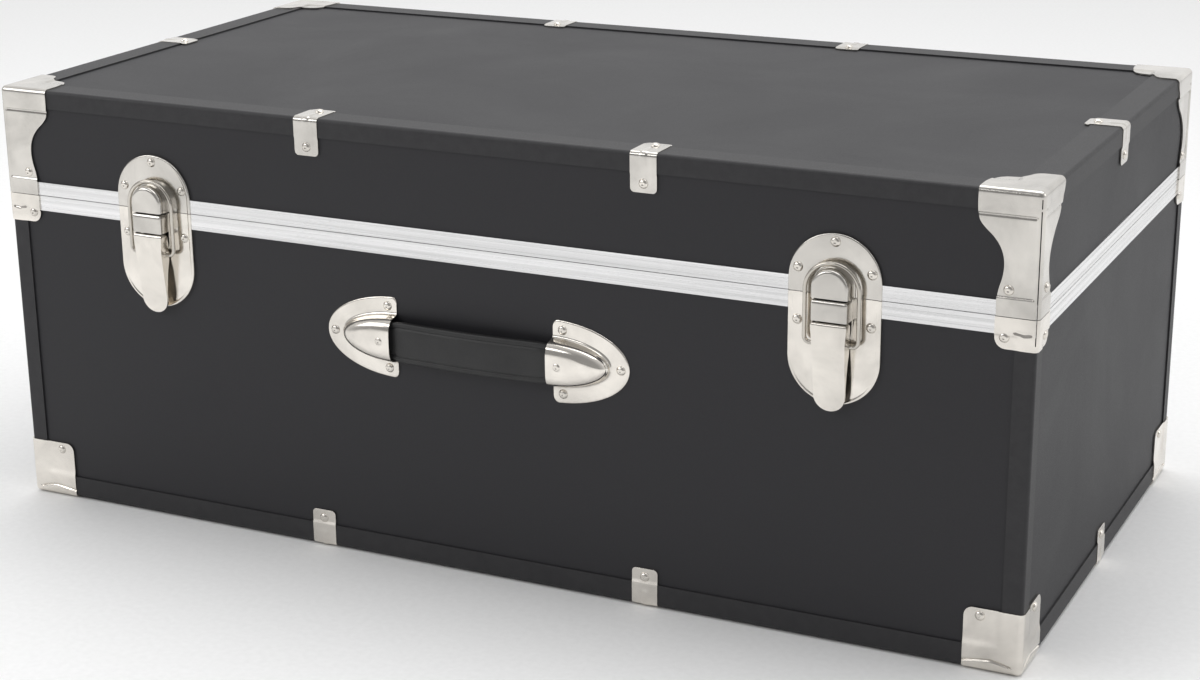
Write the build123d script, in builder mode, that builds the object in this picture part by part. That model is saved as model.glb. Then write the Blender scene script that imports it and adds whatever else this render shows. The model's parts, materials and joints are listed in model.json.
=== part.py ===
from build123d import *
import os

os.makedirs("parts", exist_ok=True)

# A footlocker trunk: a plywood base and lid covered in black vinyl, with fibre edge bindings,
# an aluminium closure strip, pressed nickel corners and clips, two draw latches, a carrying
# handle on the front and two hinges at the back.
# X runs along the trunk, the front faces -Y and Z is up. The origin is on the floor, under
# the middle of the whole trunk with its latches and hinges.

# ---- overall size, in millimetres ----
length = 762.0  # over the corner caps, left to right
depth = 396.0  # over the corner caps, front to back
height = 310.0  # floor to the top of the lid corners
seam = 232.0  # height of the joint between base and lid
seam_gap = 0.4  # open gap between the two rims

# ---- material thicknesses ----
sheet = 1.0  # pressed steel of corners, clips and plates
fibre = 1.2  # edge binding and outer leg of the closure strip
board = 6.0  # plywood panel with its vinyl
lining_sheet = 0.8
skin = sheet + fibre  # from the outside of a corner cap to the face of a panel

# ---- edge bindings and closure strip ----
edge_round = 2.5  # outside radius of a binding
cap_round = edge_round + sheet
bottom_leg = 15.5
top_leg = 13.0
flat_leg = 21.0  # leg on the top or bottom face
upright_leg = 13.5
mitre_gap = 0.2
base_strip = 11.0
lid_strip = 9.5
strip_web = 1.0
strip_edge_round = 0.25
strip_groove = 0.12  # depth of the drawn lines along the strip
groove_width = 0.5
tongue_inset = 1.4
tongue_rise = 4.0
tongue_drop = 8.0

# ---- corners and clips ----
lid_corner_wing = 40.0
lid_corner_waist = 23.0
lid_corner_foot = 26.5
lid_corner_wing_drop = 21.5
lid_corner_waist_drop = 44.0
lid_corner_foot_rise = 14.0  # straight foot of the leaf, above the lid's rim
leaf_hollow = 0.25  # how full the leaf's curves are half-way along, from hollow at 0 to straight at 0.5
side_waist = 18.0
side_foot = 23.0
top_flange_x = 40.0
top_flange_y = 44.5
top_lobe = 31.5
side_lobe = 17.5
lobe_round = 5.5
rim_corner_width = 27.0
rim_corner_side = 24.0
rim_corner_drop = 20.0
rim_corner_round = 7.0
bottom_corner_width = 38.5
bottom_corner_side_low = 41.0
bottom_corner_side = 34.0
bottom_corner_height = 42.0
bottom_corner_round = 6.0
bottom_flange = 32.0
clip_width = 18.5
clip_leg = 27.0
clip_round = 3.0
clip_x = 124.5  # clips on the front and back, each side of the middle

# ---- latches ----
latch_x = 253.0
latch_reach = 10.0  # how far the latch stands out from the corner caps
plate_width = 61.0
plate_low = 161.0
plate_high = 271.4
plate_edge_round = 0.8
dome_half = 12.7
dome_top = 251.0
dome_wall = 1.2
dome_edge_round = 2.0
bracket_half = 12.0
bracket_low = 217.7
bracket_high = 231.0
bracket_web = 0.8
bracket_wall = 1.0
bracket_web_low = 205.0
bracket_edge_round = 1.5
lug_inner = 8.6
lug_thick = 1.2
lug_nose = 2.2
lug_base_top = 211.0
lever_pivot_out = 6.5
lever_pivot_z = 213.0
lever_pin_radius = 1.2
running_clearance = 0.05
lever_half = 11.7
lever_tail_half = 10.5
lever_wall = 1.0
lever_flange = 1.1
lever_top = 215.3
lever_knee = 205.0
lever_tail_z = 158.4
lever_tail_out = 4.6
lever_flange_end = 174.0
lever_heel_out = 0.7  # back edge of the lever's side flanges
lever_heel_low = 196.5
lever_heel_high = 204.5
lever_crown = 216.9
lever_crown_half = 1.5
lever_swing = 4.2  # everything above the pivot stays within this radius of it
lever_shoulder = 3.5
barrel_out = 4.0
barrel_z = 201.5
barrel_radius = 2.2
wire_radius = 1.4
loop_half = 17.6
loop_top = 253.3
loop_bend = 4.0
loop_end = 9.0

# ---- handle ----
handle_z = 162.8
cap_inner = 59.0
cap_tip = 114.0
cap_half = 28.75
cap_corner_round = 4.0
cap_dome_tip = 100.0
cap_dome_half = 16.0
cap_dome_rise = 11.0
cap_dome_round = 5.0
strap_out = 2.4  # back of the strap, in front of the corner caps' plane
strap_thick = 5.2
strap_width = 28.5
strap_grip_half = 56.0
strap_gap = 0.3
strap_end_reach = 76.0
strap_end_width = 26.4
strap_round = 1.6

# ---- hinges ----
hinge_x = 253.0
hinge_width = 60.0
knuckle_radius = 3.2
hinge_pin_radius = 1.6
lower_leaf_drop = 36.0
upper_leaf_rise = 30.0
leaf_round = 8.0
outer_knuckle = 18.0
knuckle_gap = 0.4
knuckle_notch = 4.2
pin_head = 1.0
pin_head_radius = 2.4
hinge_rivet_spread = 20.0

# ---- rivets ----
rivet_radius = 3.3
rivet_rise = 1.6
lid_corner_rivet = 19.5  # in from the upright edge, on the front and back
lid_corner_side_rivet = 16.0
lid_corner_rivet_z = 248.5
rim_corner_rivet = 21.0
rim_corner_side_rivet = 17.0
rim_corner_rivet_z = 219.0
bottom_corner_rivet = 28.0
bottom_corner_rivet_z = 37.0
clip_rivet_drop = 21.0
clip_top_rivet = 19.5  # in from the edge, on the lid's top face
latch_rivet_spread = 24.0
keeper_rivet_z = 247.7
keeper_top_rivet_z = 266.0
plate_rivet_z = 214.0
cap_tip_rivet = 108.0
cap_pair_rivet = 66.0
cap_pair_spread = 22.0
cap_dome_rivet = 67.0
upper_leaf_rivet_z = 250.0
lower_leaf_rivet_z = 210.0

# ---- positions worked out from the dimensions above ----
front_reach = cap_dome_rise + rivet_rise - fibre  # the rivet on the handle caps stands out furthest
mid_y = (front_reach - 2 * knuckle_radius) / 2  # middle of the box, without latches and hinges
half_x = length / 2
front = mid_y - depth / 2
back = mid_y + depth / 2
panel_x = half_x - skin
panel_front = front + skin
panel_back = back - skin
inside_x = panel_x - board
inside_front = panel_front + board
inside_back = panel_back - board
floor_top = skin + board
roof_low = height - skin - board
base_top = seam - seam_gap / 2
lid_low = seam + seam_gap / 2
hinge_y = back + knuckle_radius
handle_plate_out = sheet - skin
lugs = (-lug_inner - lug_thick, lug_inner)


def front_face(out):
    """Plane parallel to the front, the given distance in front of the corner caps."""
    return Plane.XZ.offset(out - front)


def box_between(low, high, mode=Mode.ADD):
    """Box from its lowest to its highest corner."""
    size = [b - a for a, b in zip(low, high)]
    with Locations(low):
        Box(*size, align=(Align.MIN, Align.MIN, Align.MIN), mode=mode)


def ring_between(inset, thick, z_low, z_high, mode=Mode.ADD):
    """Rectangular ring that follows the trunk's outline, its outside inset from the corner caps."""
    with BuildSketch(Plane.XY.offset(z_low)) as outline:
        with Locations((0, mid_y)):
            RectangleRounded(length - 2 * inset, depth - 2 * inset, edge_round)
            Rectangle(length - 2 * (inset + thick), depth - 2 * (inset + thick), mode=Mode.SUBTRACT)
    extrude(outline.sketch, amount=z_high - z_low, mode=mode)


def mitre_cuts(z_low, z_high):
    """Fine diagonal gaps at the four corners, which part a ring into four strips."""
    for sx in (-1, 1):
        for y, sy in ((front, -1), (back, 1)):
            with Locations(Location((sx * half_x, y, (z_low + z_high) / 2), (0, 0, 45 * sx * sy))):
                Box(4 * flat_leg, mitre_gap, z_high - z_low, mode=Mode.SUBTRACT)


def finish(part, name):
    """Name a finished piece and write its file."""
    part.label = name
    export_step(part, f"parts/{name}.step")


# ---- panels ----
def panel(name, low, high):
    """Plain plywood panel."""
    with BuildPart() as piece:
        box_between(low, high)
    finish(piece.part, name)


def four_walls(prefix, z_low, z_high):
    """Front, back, left and right panels; the side panels stand between the long ones."""
    panel(f"{prefix}_front_panel", (-panel_x, panel_front, z_low), (panel_x, inside_front, z_high))
    panel(f"{prefix}_back_panel", (-panel_x, inside_back, z_low), (panel_x, panel_back, z_high))
    panel(f"{prefix}_left_panel", (-panel_x, inside_front, z_low), (-inside_x, inside_back, z_high))
    panel(f"{prefix}_right_panel", (inside_x, inside_front, z_low), (panel_x, inside_back, z_high))


panel("base_bottom_panel", (-panel_x, panel_front, skin), (panel_x, panel_back, floor_top))
four_walls("base", floor_top, base_top - strip_web)
panel("lid_top_panel", (-panel_x, panel_front, roof_low), (panel_x, panel_back, height - skin))
four_walls("lid", lid_low + strip_web, roof_low)

# ---- linings: thin trays against the inside of the panels ----
with BuildPart() as base_lining:
    box_between((-inside_x, inside_front, floor_top), (inside_x, inside_back, base_top - strip_web))
    offset(amount=-lining_sheet, openings=base_lining.faces().sort_by(Axis.Z)[-1])
finish(base_lining.part, "base_lining")

with BuildPart() as lid_lining:
    box_between((-inside_x, inside_front, lid_low + strip_web), (inside_x, inside_back, roof_low))
    offset(amount=-lining_sheet, openings=lid_lining.faces().sort_by(Axis.Z)[0])
finish(lid_lining.part, "lid_lining")


# ---- edge bindings ----
def long_edge_bindings(name, face_z, inner_z, leg_z):
    """Four mitred angle strips around the top or bottom face of the trunk."""
    z_low, z_high = sorted((face_z, leg_z))
    panel_low, panel_high = sorted((inner_z, leg_z))
    outer_end = 0 if face_z < leg_z else -1
    with BuildPart() as piece:
        box_between((sheet - half_x, front + sheet, z_low), (half_x - sheet, back - sheet, z_high))
        fillet(piece.edges().filter_by(Axis.Z) + piece.edges().group_by(Axis.Z)[outer_end], edge_round)
        box_between((-panel_x, panel_front, panel_low), (panel_x, panel_back, panel_high), Mode.SUBTRACT)
        window_x = half_x - sheet - flat_leg
        window_y = depth / 2 - sheet - flat_leg
        window_low = (-window_x, mid_y - window_y, z_low)
        box_between(window_low, (window_x, mid_y + window_y, z_high), Mode.SUBTRACT)
        mitre_cuts(z_low, z_high)
    finish(piece.part, name)


def upright_bindings(name, z_low, z_high):
    """Four angle strips on the upright edges."""
    with BuildPart() as piece:
        box_between((sheet - half_x, front + sheet, z_low), (half_x - sheet, back - sheet, z_high))
        fillet(piece.edges().filter_by(Axis.Z), edge_round)
        box_between((-panel_x, panel_front, z_low), (panel_x, panel_back, z_high), Mode.SUBTRACT)
        span_x = half_x - sheet - upright_leg
        span_y = depth / 2 - sheet - upright_leg
        box_between((-span_x, front, z_low), (span_x, back, z_high), Mode.SUBTRACT)
        box_between((-half_x, mid_y - span_y, z_low), (half_x, mid_y + span_y, z_high), Mode.SUBTRACT)
    finish(piece.part, name)


bottom_leg_top = sheet + bottom_leg
top_leg_low = height - sheet - top_leg
long_edge_bindings("base_bottom_bindings", sheet, skin, bottom_leg_top)
long_edge_bindings("lid_top_bindings", height - sheet, height - skin, top_leg_low)
upright_bindings("base_upright_bindings", bottom_leg_top, base_top - base_strip)
upright_bindings("lid_upright_bindings", lid_low + lid_strip, top_leg_low)

# ---- closure strip: an outer leg, a web over the panel edges and a tongue that enters the lid ----
with BuildPart() as base_valance:
    ring_between(sheet, fibre, base_top - base_strip, base_top)
    fillet(base_valance.faces().sort_by(Axis.Z)[-1].outer_wire().edges(), strip_edge_round)
    ring_between(sheet, fibre + board + tongue_inset + strip_web, base_top - strip_web, base_top)
    ring_between(skin + board + tongue_inset, strip_web, base_top - tongue_drop, base_top + tongue_rise)
    for line in (base_strip / 4, base_strip * 3 / 4):
        groove = base_top - line
        ring_between(sheet, strip_groove, groove - groove_width / 2, groove + groove_width / 2, Mode.SUBTRACT)
    mitre_cuts(base_top - base_strip, base_top + tongue_rise)
finish(base_valance.part, "base_valance")

with BuildPart() as lid_valance:
    ring_between(sheet, fibre, lid_low, lid_low + lid_strip)
    fillet(lid_valance.faces().sort_by(Axis.Z)[0].outer_wire().edges(), strip_edge_round)
    ring_between(sheet, fibre + board, lid_low, lid_low + strip_web)
    for line in (lid_strip / 4, lid_strip * 3 / 4):
        groove = lid_low + line
        ring_between(sheet, strip_groove, groove - groove_width / 2, groove + groove_width / 2, Mode.SUBTRACT)
    mitre_cuts(lid_low, lid_low + lid_strip)
finish(lid_valance.part, "lid_valance")


# ---- pressed corners: a thin shell round the trunk's corner, cut to its leaf outlines ----
# Each is built with its point at the origin, X and Y running in along the trunk's front and
# side and Z running in from the top or bottom face, and is then mirrored into its place.
def pressed_corner(front_leaf, side_leaf, flat_leaf=None):
    """Corner with a leaf on the front, one on the side and, if given, one on the flat face."""
    reach = 2 * lid_corner_wing
    blank_low = 0 if flat_leaf else -cap_round
    folds = 3 if flat_leaf else 1
    layers = []
    for inset, radius in ((0, cap_round), (sheet, edge_round)):
        with BuildPart() as layer:
            box_between((inset, inset, blank_low + inset), (reach, reach, reach))
            fillet(layer.edges().sort_by_distance((0, 0, reach / 2 if folds == 1 else 0))[:folds], radius)
        layers.append(layer.part)
    with BuildPart() as leaves:
        extrude(Plane.XZ * front_leaf, amount=-cap_round)
        extrude(Plane.YZ * side_leaf, amount=cap_round)
        if flat_leaf:
            extrude(Plane.XY * flat_leaf, amount=cap_round)
    with BuildPart() as piece:
        add(layers[0])
        add(layers[1], mode=Mode.SUBTRACT)
        add(leaves.part, mode=Mode.INTERSECT)
    return piece.part


def four_corners(prefix, shape, z_face, is_top):
    """Write the corner shape at the trunk's four corners."""
    for side, sx in (("left", -1), ("right", 1)):
        for end, y_face in (("front", front), ("back", back)):
            placed = mirror(shape, about=Plane.YZ) if sx > 0 else shape
            placed = mirror(placed, about=Plane.XZ) if end == "back" else placed
            placed = mirror(placed, about=Plane.XY) if is_top else placed
            with BuildPart() as piece:
                add(placed.moved(Location((sx * half_x, y_face, z_face))))
            finish(piece.part, f"{prefix}_{end}_{side}")


def waisted_leaf(wing, waist, foot):
    """Lid corner leaf: wide at the top, drawn in to a waist and straight down to the rim."""
    rim_drop = height - lid_low
    foot_drop = rim_drop - lid_corner_foot_rise
    upper_drop = (lid_corner_wing_drop + lid_corner_waist_drop) / 2
    lower_drop = (lid_corner_waist_drop + foot_drop) / 2
    with BuildSketch() as leaf:
        with BuildLine():
            Polyline((0, rim_drop), (0, 0), (wing, 0), (wing, lid_corner_wing_drop))
            ThreePointArc(
                (wing, lid_corner_wing_drop),
                (waist + (wing - waist) * leaf_hollow, upper_drop),
                (waist, lid_corner_waist_drop),
            )
            ThreePointArc(
                (waist, lid_corner_waist_drop),
                (waist + (foot - waist) * leaf_hollow, lower_drop),
                (foot, foot_drop),
            )
            Polyline((foot, foot_drop), (foot, rim_drop), (0, rim_drop))
        make_face()
    return leaf.sketch


def rounded_leaf(low_width, high_width, tall, radius):
    """Leaf with its free corner rounded."""
    with BuildSketch() as leaf:
        with BuildLine():
            Polyline((0, 0), (low_width, 0), (high_width, tall), (0, tall), close=True)
        make_face()
        fillet(leaf.vertices().sort_by_distance((high_width, tall))[0], radius)
    return leaf.sketch


with BuildSketch() as lobed_leaf:
    Rectangle(top_flange_x, top_lobe, align=(Align.MIN, Align.MIN))
    Rectangle(side_lobe, top_flange_y, align=(Align.MIN, Align.MIN))
    fillet(lobed_leaf.vertices().sort_by_distance((top_flange_x, top_flange_y))[:3], lobe_round)

lid_corner = pressed_corner(
    waisted_leaf(lid_corner_wing, lid_corner_waist, lid_corner_foot),
    waisted_leaf(lid_corner_wing, side_waist, side_foot),
    lobed_leaf.sketch,
)
four_corners("lid_corner", lid_corner, height, True)

rim_corner = pressed_corner(
    rounded_leaf(rim_corner_width, rim_corner_width, rim_corner_drop, rim_corner_round),
    rounded_leaf(rim_corner_side, rim_corner_side, rim_corner_drop, rim_corner_round),
)
four_corners("base_rim_corner", rim_corner, base_top, True)

bottom_corner = pressed_corner(
    rounded_leaf(bottom_corner_width, bottom_corner_width, bottom_corner_height, bottom_corner_round),
    rounded_leaf(bottom_corner_side_low, bottom_corner_side, bottom_corner_height, bottom_corner_round),
    rounded_leaf(bottom_flange, bottom_flange, bottom_flange, bottom_corner_round),
)
four_corners("bottom_corner", bottom_corner, 0, False)

# ---- edge clips: short angles folded over the bindings ----
with BuildPart() as clip:
    with BuildSketch(Plane.YZ.offset(-clip_width / 2)) as angle:
        Rectangle(clip_leg, clip_leg, align=(Align.MIN, Align.MIN))
        fillet(angle.vertices().sort_by_distance((0, 0))[0], cap_round)
    extrude(amount=clip_width)
    with BuildSketch(Plane.YZ.offset(-clip_width / 2)) as angle_inside:
        with Locations((sheet, sheet)):
            Rectangle(clip_leg, clip_leg, align=(Align.MIN, Align.MIN))
        fillet(angle_inside.vertices().sort_by_distance((0, 0))[0], edge_round)
    extrude(amount=clip_width, mode=Mode.SUBTRACT)
    fillet(clip.edges().filter_by(lambda edge: abs(edge.length - sheet) < sheet / 10), clip_round)


def edge_clips(name, shape, z_face):
    """Two clips on the front and the back edge and one on each side."""
    with BuildPart() as clips:
        for x in (-clip_x, clip_x):
            add(shape.moved(Location((x, front, z_face))))
            add(shape.moved(Location((x, back, z_face), (0, 0, 180))))
        add(shape.moved(Location((half_x, mid_y, z_face), (0, 0, 90))))
        add(shape.moved(Location((-half_x, mid_y, z_face), (0, 0, -90))))
    finish(clips.part, name)


edge_clips("base_edge_clips", clip.part, 0)
lid_clip = mirror(clip.part, about=Plane.XY)
edge_clips("lid_edge_clips", lid_clip, height)


# ---- latches ----
def latch_plate(x, z_low, z_high):
    """Dished plate with a turned-down rim, let over the closure strip and cut off at the seam."""
    with BuildPart() as plate:
        with BuildSketch(front_face(0)):
            with Locations((x, (plate_low + plate_high) / 2)):
                SlotOverall(plate_high - plate_low, plate_width, rotation=90)
        extrude(amount=-skin)
        fillet(plate.edges().group_by(Axis.Y)[0], plate_edge_round)
        with BuildSketch(front_face(-sheet)):
            with Locations((x, (plate_low + plate_high) / 2)):
                SlotOverall(plate_high - plate_low - 2 * sheet, plate_width - 2 * sheet, rotation=90)
        extrude(amount=sheet - skin, mode=Mode.SUBTRACT)
        strips_low = (x - plate_width, front + sheet, base_top - base_strip)
        strips_high = (x + plate_width, panel_front, lid_low + lid_strip)
        box_between(strips_low, strips_high, Mode.SUBTRACT)
        box_between((x - plate_width, front, z_low), (x + plate_width, panel_front, z_high), Mode.INTERSECT)
    return plate.part


def arch(x, half, top):
    """Upright outline with a round top, standing on the lid's rim."""
    with BuildSketch(front_face(0)) as outline:
        with Locations((x, top - half)):
            Circle(half)
        with Locations((x, lid_low)):
            Rectangle(2 * half, top - half - lid_low, align=(Align.CENTER, Align.MIN))
            Rectangle(2 * half, top - lid_low, align=(Align.CENTER, Align.MIN), mode=Mode.INTERSECT)
    return outline.sketch


def side_profile(points):
    """Closed outline in the YZ plane from (distance in front of the corner caps, height) pairs."""
    with BuildSketch(Plane.YZ) as outline:
        with BuildLine():
            Polyline([(front - out, z) for out, z in points], close=True)
        make_face()
    return outline.sketch


def across(x_low, x_high, shape, mode=Mode.ADD):
    """Run a side profile from one X to another."""
    extrude(Location((x_low, 0, 0)) * shape, amount=x_high - x_low, dir=(1, 0, 0), mode=mode)


def cross_hole(x, out, z, radius, wide, mode=Mode.SUBTRACT):
    """Hole, or pin, along X through a point given by its distance in front of the corner caps."""
    with Locations(Location((x, front - out, z), (0, 90, 0))):
        Cylinder(radius, wide, mode=mode)


def latch(side, x):
    """One draw latch: lid keeper, base plate, bracket, lever, barrel and wire loop."""
    with BuildPart() as keeper:
        add(latch_plate(x, lid_low, plate_high))
        extrude(arch(x, dome_half, dome_top), amount=latch_reach)
        front_edges = keeper.edges().group_by(Axis.Y)[0]
        fillet(front_edges.filter_by(lambda edge: edge.center().Z > lid_low + sheet), dome_edge_round)
        hollow_arch = arch(x, dome_half - dome_wall, dome_top - dome_wall)
        extrude(hollow_arch, amount=latch_reach - dome_wall, mode=Mode.SUBTRACT)
    finish(keeper.part, f"latch_keeper_{side}")

    with BuildPart() as plate:
        add(latch_plate(x, plate_low, base_top))
    finish(plate.part, f"latch_plate_{side}")

    with BuildPart() as bracket:
        block_low = (x - bracket_half, front - latch_reach, bracket_low)
        box_between(block_low, (x + bracket_half, front, bracket_high))
        front_face_edges = bracket.edges().filter_by(Axis.Z).group_by(Axis.Y)[0]
        fillet(front_face_edges, bracket_edge_round)
        inside_half = bracket_half - bracket_wall
        inside_low = (x - inside_half, front - latch_reach + bracket_wall, bracket_low)
        inside_high = (x + inside_half, front, bracket_high - bracket_wall)
        box_between(inside_low, inside_high, Mode.SUBTRACT)
        web_low = (x - bracket_half, front - bracket_web, bracket_web_low)
        box_between(web_low, (x + bracket_half, front, bracket_high))
        lug_points = [
            (0, bracket_web_low),
            (0, lug_base_top),
            (lever_pivot_out, lever_pivot_z + lug_nose),
            (lever_pivot_out, lever_pivot_z - lug_nose),
        ]
        for lug in lugs:
            across(x + lug, x + lug + lug_thick, side_profile(lug_points))
            lug_middle = x + lug + lug_thick / 2
            cross_hole(lug_middle, lever_pivot_out, lever_pivot_z, lug_nose, lug_thick, Mode.ADD)
        cross_hole(x, lever_pivot_out, lever_pivot_z, lever_pin_radius + running_clearance, 2 * lever_half)
    finish(bracket.part, f"latch_bracket_{side}")

    with BuildPart() as pivot:
        cross_hole(x, lever_pivot_out, lever_pivot_z, lever_pin_radius, 2 * lever_half, Mode.ADD)
    finish(pivot.part, f"latch_pivot_{side}")

    flange_front = lever_tail_out + (latch_reach - lever_tail_out) * (
        (lever_flange_end - lever_tail_z) / (lever_knee - lever_tail_z)
    )
    lever_front = [(latch_reach, lever_top), (latch_reach, lever_knee), (lever_tail_out, lever_tail_z)]
    lever_back = [
        (lever_tail_out - lever_wall, lever_tail_z),
        (flange_front - lever_wall, lever_flange_end),
        (lever_heel_out, lever_heel_low),
        (lever_heel_out, lever_heel_high),
        (lever_pivot_out - lever_swing, lever_pivot_z),
        (latch_reach - 2 * lever_shoulder, lever_top),
        (lever_pivot_out - lever_crown_half, lever_crown),
        (lever_pivot_out + lever_crown_half, lever_crown),
    ]
    hollow = [(out - lever_wall, z) for out, z in lever_front]
    hollow[0] = (latch_reach - lever_wall, bracket_low)
    hollow += [(-latch_reach, lever_tail_z), (-latch_reach, bracket_low)]
    with BuildPart() as lever:
        across(x - lever_half, x + lever_half, side_profile(lever_front + lever_back))
        inner_half = lever_half - lever_flange
        across(x - inner_half, x + inner_half, side_profile(hollow), Mode.SUBTRACT)
        with BuildSketch(front_face(-skin)) as outline:
            tail_centre = lever_tail_z + lever_tail_half
            with BuildLine():
                Polyline(
                    (x - lever_tail_half, tail_centre),
                    (x - lever_half, lever_knee),
                    (x - lever_half, bracket_low),
                    (x + lever_half, bracket_low),
                    (x + lever_half, lever_knee),
                    (x + lever_tail_half, tail_centre),
                )
                ThreePointArc(
                    (x + lever_tail_half, tail_centre), (x, lever_tail_z), (x - lever_tail_half, tail_centre)
                )
            make_face()
        extrude(amount=2 * latch_reach, mode=Mode.INTERSECT)
        cross_hole(x, lever_pivot_out, lever_pivot_z, lever_pin_radius + running_clearance, 2 * lever_half)
        cross_hole(x, barrel_out, barrel_z, barrel_radius + running_clearance, 2 * lever_half)
    finish(lever.part, f"latch_lever_{side}")

    with BuildPart() as barrel:
        cross_hole(x, barrel_out, barrel_z, barrel_radius, 2 * lever_half, Mode.ADD)
        cross_hole(x, barrel_out, barrel_z, wire_radius + running_clearance, 2 * lever_half)
    finish(barrel.part, f"latch_barrel_{side}")

    with BuildPart() as loop:
        arch_z = loop_top - loop_half
        with BuildLine(front_face(barrel_out)) as path:
            FilletPolyline(
                (x - loop_end, barrel_z),
                (x - loop_half, barrel_z),
                (x - loop_half, arch_z),
                radius=loop_bend,
            )
            ThreePointArc((x - loop_half, arch_z), (x, loop_top), (x + loop_half, arch_z))
            FilletPolyline(
                (x + loop_half, arch_z),
                (x + loop_half, barrel_z),
                (x + loop_end, barrel_z),
                radius=loop_bend,
            )
        wire = path.wire()
        with BuildSketch(Plane(origin=wire @ 0, z_dir=wire % 0)):
            Circle(wire_radius)
        sweep(path=wire)
    finish(loop.part, f"latch_loop_{side}")


latch("left", -latch_x)
latch("right", latch_x)

# ---- handle ----
def half_dome(inset):
    """Half-elliptical dome on the handle plate, shrunk by the inset on its curved sides and top."""
    with BuildPart() as dome:
        with BuildSketch(front_face(handle_plate_out)):
            with BuildLine():
                reach = cap_dome_tip - cap_inner - inset
                half = cap_dome_half - inset
                EllipticalCenterArc((cap_inner, handle_z), reach, half, start_angle=-90, arc_size=180)
                Line((cap_inner, handle_z + half), (cap_inner, handle_z - half))
            make_face()
        extrude(amount=cap_dome_rise - inset)
        rim = dome.edges().group_by(Axis.Y)[0].sort_by(Axis.X)[-1]
        fillet(rim, cap_dome_round - inset)
    return dome.part


with BuildPart() as right_cap:
    add(half_dome(0))
    add(half_dome(sheet), mode=Mode.SUBTRACT)
    with BuildSketch(front_face(-skin)) as cap_outline:
        with BuildLine():
            EllipticalCenterArc(
                (cap_inner, handle_z), cap_tip - cap_inner, cap_half, start_angle=-90, arc_size=180
            )
            Line((cap_inner, handle_z + cap_half), (cap_inner, handle_z - cap_half))
        make_face()
        fillet(cap_outline.vertices(), cap_corner_round)
    extrude(amount=sheet)
finish(right_cap.part, "handle_cap_right")

left_shape = mirror(right_cap.part, about=Plane.YZ)
with BuildPart() as left_cap:
    add(left_shape)
finish(left_cap.part, "handle_cap_left")


def strap_piece(name, x_low, x_high, wide):
    """Straight stretch of the flat strap with softened long edges."""
    with BuildPart() as piece:
        low = (x_low, front - strap_out - strap_thick, handle_z - wide / 2)
        box_between(low, (x_high, front - strap_out, handle_z + wide / 2))
        fillet(piece.edges().filter_by(Axis.X), strap_round)
    finish(piece.part, name)


strap_piece("strap_grip", -strap_grip_half, strap_grip_half, strap_width)
strap_start = strap_grip_half + strap_gap
strap_piece("strap_end_right", strap_start, strap_end_reach, strap_end_width)
strap_piece("strap_end_left", -strap_end_reach, -strap_start, strap_end_width)


# ---- hinges ----
def knuckles(x, spans, up):
    """Rolled knuckles of one leaf: a tube round the pin and the bend that leads to the leaf."""
    for x_low, x_high in spans:
        z_low, z_high = sorted((seam, seam + up * knuckle_notch))
        box_between((x + x_low, back - sheet, z_low), (x + x_high, hinge_y, z_high))
        with Locations(Location((x + (x_low + x_high) / 2, hinge_y, seam), (0, 90, 0))):
            Cylinder(knuckle_radius, x_high - x_low)
    with Locations(Location((x, hinge_y, seam), (0, 90, 0))):
        Cylinder(hinge_pin_radius + running_clearance, hinge_width, mode=Mode.SUBTRACT)


half_hinge = hinge_width / 2
inner_span = half_hinge - outer_knuckle
for side, x in (("left", -hinge_x), ("right", hinge_x)):
    with BuildPart() as lower_leaf:
        leaf_low = (x - half_hinge, back - sheet, seam - lower_leaf_drop)
        box_between(leaf_low, (x + half_hinge, back, seam - knuckle_notch))
        fillet(lower_leaf.edges().filter_by(Axis.Y).group_by(Axis.Z)[0], leaf_round)
        knuckles(x, ((-half_hinge, -inner_span), (inner_span, half_hinge)), -1)
    finish(lower_leaf.part, f"hinge_lower_leaf_{side}")

    with BuildPart() as upper_leaf:
        leaf_low = (x - half_hinge, back - sheet, seam + knuckle_notch)
        box_between(leaf_low, (x + half_hinge, back, seam + upper_leaf_rise))
        fillet(upper_leaf.edges().filter_by(Axis.Y).group_by(Axis.Z)[-1], leaf_round)
        knuckles(x, ((knuckle_gap - inner_span, inner_span - knuckle_gap),), 1)
    finish(upper_leaf.part, f"hinge_upper_leaf_{side}")

with BuildPart() as hinge_pins:
    for x in (-hinge_x, hinge_x):
        with Locations(Location((x, hinge_y, seam), (0, 90, 0))):
            Cylinder(hinge_pin_radius, hinge_width + 2 * pin_head)
        for sx in (-1, 1):
            with Locations(Location((x + sx * (half_hinge + pin_head / 2), hinge_y, seam), (0, 90, 0))):
                Cylinder(pin_head_radius, pin_head)
finish(hinge_pins.part, "hinge_pins")

# ---- rivets: round heads on every plate, corner and clip ----
rivet_ball = (rivet_radius**2 + rivet_rise**2) / (2 * rivet_rise)
with BuildPart() as rivet:
    with Locations((0, 0, rivet_rise - rivet_ball)):
        Sphere(rivet_ball)
    split(bisect_by=Plane.XY, keep=Keep.TOP)

back_plane = Plane(origin=(0, back, 0), x_dir=(-1, 0, 0), z_dir=(0, 1, 0))
right_plane = Plane(origin=(half_x, 0, 0), x_dir=(0, 1, 0), z_dir=(1, 0, 0))
left_plane = Plane(origin=(-half_x, 0, 0), x_dir=(0, -1, 0), z_dir=(-1, 0, 0))


def all_round(from_front_edge, from_side_edge, z):
    """Rivet places beside the four upright edges, on both faces of each."""
    places = []
    for sx in (-1, 1):
        x = sx * (half_x - from_front_edge)
        places += [front_face(0).location * Pos(x, z, 0), back_plane.location * Pos(x, z, 0)]
    for y in (front + from_side_edge, back - from_side_edge):
        places += [right_plane.location * Pos(y, z, 0), left_plane.location * Pos(-y, z, 0)]
    return places


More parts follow.
